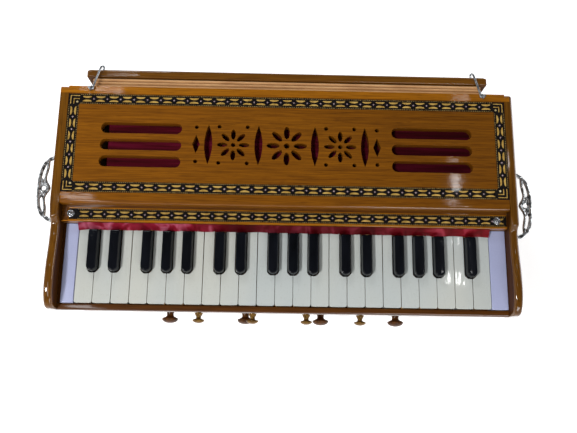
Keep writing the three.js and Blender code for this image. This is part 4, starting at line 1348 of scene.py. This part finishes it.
FRONT_MOULDING = 0.0012
REAR_MOULDING = 0.0032
MOULDING_STEPS = 8
BOARD_CORNER = 0.003
BOARD_CORNER_STEPS = 4
FOLD_COUNT = 3
FOLD_STEPS = 8
FOLD_DEPTH = 0.0045
FOLD_WALL = 0.009
FOLD_CORNER = 0.004
LINING_CORNER = 0.003
FOLD_CORNER_STEPS = 5
DARK_SHARE = 0.24


def rectangle(box, inset, y, corner, steps):
    """The outline of a box seen from the front, drawn in by inset, with round corners."""
    half, low, high = box[1].x - inset - corner, box[0].z + inset + corner, box[1].z - inset - corner
    ring = []
    for turn, x, z in ((-1, half, low), (0, half, high), (1, -half, high), (2, -half, low)):
        ring += arc(Vector((x, y, z)), X_AXIS, Z_AXIS, corner, turn * QUARTER, QUARTER, steps)
    return ring


def add_bellows_board():
    rings = []
    for moulding, face, side in ((FRONT_MOULDING, BOARD_LOW.y, 1), (REAR_MOULDING, BOARD_HIGH.y, -1)):
        for i in range(MOULDING_STEPS + 1):
            share = i / MOULDING_STEPS
            angle = QUARTER * (1 - share if side > 0 else share)
            inset = moulding * (1 - cos(angle))
            y = face + side * moulding * (1 - sin(angle))
            corner = BOARD_CORNER + inset
            rings.append(rectangle((BOARD_LOW, BOARD_HIGH), inset, y, corner, BOARD_CORNER_STEPS))
    mesh = lofted(rings)
    add_piece("bellows_panel", mesh, "bellows_body", [BELLOWS_WOOD], "bellows_board")


def add_bellows_folds():
    box = (FOLDS_LOW, FOLDS_HIGH)
    depth = FOLDS_HIGH.y - FOLDS_LOW.y
    rings = []
    dark = []
    stations = FOLD_COUNT * FOLD_STEPS
    for i in range(stations + 1):
        turn = (i % FOLD_STEPS) / FOLD_STEPS
        bulge = sqrt(sin(pi * turn))
        y = FOLDS_LOW.y + depth * i / stations
        rings.append(rectangle(box, FOLD_DEPTH * (1 - bulge), y, FOLD_CORNER, FOLD_CORNER_STEPS))
        dark.append(min(turn, 1 - turn) < DARK_SHARE / 2)
    outer = lofted(rings, False)
    for number, face in enumerate(outer.polygons):
        ring = number // len(rings[0])
        face.material_index = 1 if dark[ring] and dark[ring + 1] else 0
    lining = lofted([
        rectangle(box, FOLD_WALL, FOLDS_LOW.y + depth * i / FOLD_COUNT, LINING_CORNER, FOLD_CORNER_STEPS)
        for i in range(FOLD_COUNT + 1)
    ], False)
    lining.flip_normals()
    mesh = mesh_of()
    with edited(mesh, outer, lining):
        pass
    looks = [PLEAT_TAN, PLEAT_DARK]
    pleats = add_piece("bellows_pleats", mesh, None, looks, "bellows_folds")
    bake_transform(pleats)


RESERVOIR_ROUNDING = 0.001


def add_reservoir():
    mesh = carried("reservoir", RESERVOIR_ROUNDING)
    add_piece("reservoir_board", mesh, "reservoir_body", [RAW_WOOD], "reservoir")


add_bellows_board()
add_bellows_folds()
add_reservoir()


# Pale floor, even sky and soft lamps

FLOOR_HALF = 15
FLOOR_COLOUR = (0.9, 0.9, 0.9)
FLOOR_GLOW = 0.62
# Brightness of the sky at each height of the ray's direction
SKY = ((0, (0.95,) * 3), (0.3, (0.75,) * 3), (0.62, (0.06,) * 3))


def add_floor():
    """A floor that glows for the camera and for what mirrors and glass show, and not for the object."""
    shader = Shader("floor_paper", Roughness=0.95, Base_Color=FLOOR_COLOUR, Specular_IOR_Level=0,
                    Emission_Color=WHITE)
    rays = shader.node("ShaderNodeLightPath").outputs
    seen = rays["Is Camera Ray"]
    for name in ("Is Glossy Ray", "Is Transmission Ray"):
        seen = shader.node("ShaderNodeMath", {0: seen, 1: rays[name]}, operation="MAXIMUM").outputs[0]
    glow = shader.node("ShaderNodeMath", {0: seen, 1: FLOOR_GLOW}, operation="MULTIPLY").outputs[0]
    shader.set("Emission Strength", glow)
    half = FLOOR_HALF
    points = [(-half, -half, 0), (half, -half, 0), (half, half, 0), (-half, half, 0)]
    floor = new_object("floor", mesh_of(points, [(0, 1, 2, 3)]))
    floor.data.materials.append(shader.material)


def add_sky():
    world = bpy.data.worlds.new("studio")
    bpy.context.scene.world = world
    sky = Nodes(world)
    place = sky.node("ShaderNodeTexCoord").outputs["Generated"]
    height = sky.node("ShaderNodeSeparateXYZ", {"Vector": place}).outputs["Z"]
    background = sky.nodes["Background"].inputs
    sky.feed(background["Color"], sky.ramp(height, *SKY))
    sky.feed(background["Strength"], 1)


# Place, target, size across and lengthways, and power
LAMPS = {
    "key_lamp": ((-1.5, -0.85, 3), (0, 0, 0.15), (0.36, 0.36), 59),
    "front_fill": ((0.7, -1.9, 1.5), (0, 0, 0.1), (0.8, 0.8), 15),
    "right_edge_lamp": ((2, 0.55, 0.6), (OUTER_HALF, 0, TOP), (0.7, 0.7), 7),
    "rear_strip": ((-0.75, 1.85, 1.75), (-0.2, 0, 0.17), (0.5, 0.24), 9),
}
# Small bright lamps whose mirror images fall where the photograph shows glare: place, sizes, brightness
GLINTS = {
    "panel_right_glint": ((0.535, 0.375), (0.024, 0.05), 12),
    "panel_rear_glint": ((0.53, 0.44), (0.03, 0.016), 8),
    "strip_right_glint": ((0.52, 0.31), (0.03, 0.006), 22),
    "key_rear_glint": ((0.546, 0.207), (0.012, 0.03), 22),
    "key_left_spot": ((0.515, 0.088), (0.014, 0.036), 45),
    "key_right_spot": ((0.553, 0.086), (0.014, 0.036), 45),
    "cover_left_glint": ((-0.62, 0.297), (0.09, 0.018), 9),
    "rear_left_glint": ((-0.57, 0.663), (0.13, 0.005), 22),
    "bellows_left_glint": ((-0.51, 0.712), (0.09, 0.006), 22),
    "rear_right_glint": ((0.56, 0.654), (0.05, 0.004), 20),
    "cheek_right_glint": ((0.71, 0.45), (0.007, 0.05), 28),
    "rail_left_glint": ((-0.6, -0.45), (0.07, 0.8), 6),
}
GLINT_HEIGHT = 1.4
# Share of a glint's place that it aims at
GLINT_AIM = (0.4, 0.3)


def add_lamp(name, place, target, size, power):
    """A rectangular lamp; its second size runs front to rear."""
    light = bpy.data.lights.new(name, "AREA")
    light.shape = "RECTANGLE"
    light.size, light.size_y = size
    light.energy = power
    back = (Vector(place) - Vector(target)).normalized()
    lengthways = (Y_AXIS - back * back.dot(Y_AXIS)).normalized()
    turn = Matrix((lengthways.cross(back), lengthways, back)).transposed().to_4x4()
    lamp = new_object(name, light)
    lamp.matrix_world = Matrix.Translation(place) @ turn


def add_lights():
    for name, measures in LAMPS.items():
        add_lamp(name, *measures)
    for name, ((x, y), size, brightness) in GLINTS.items():
        target = (x * GLINT_AIM[0], y * GLINT_AIM[1], TOP)
        power = brightness * pi * size[0] * size[1]
        add_lamp(name, (x, y, GLINT_HEIGHT), target, size, power)


add_floor()
add_sky()
add_lights()
bpy.context.scene.view_settings.view_transform = "Standard"
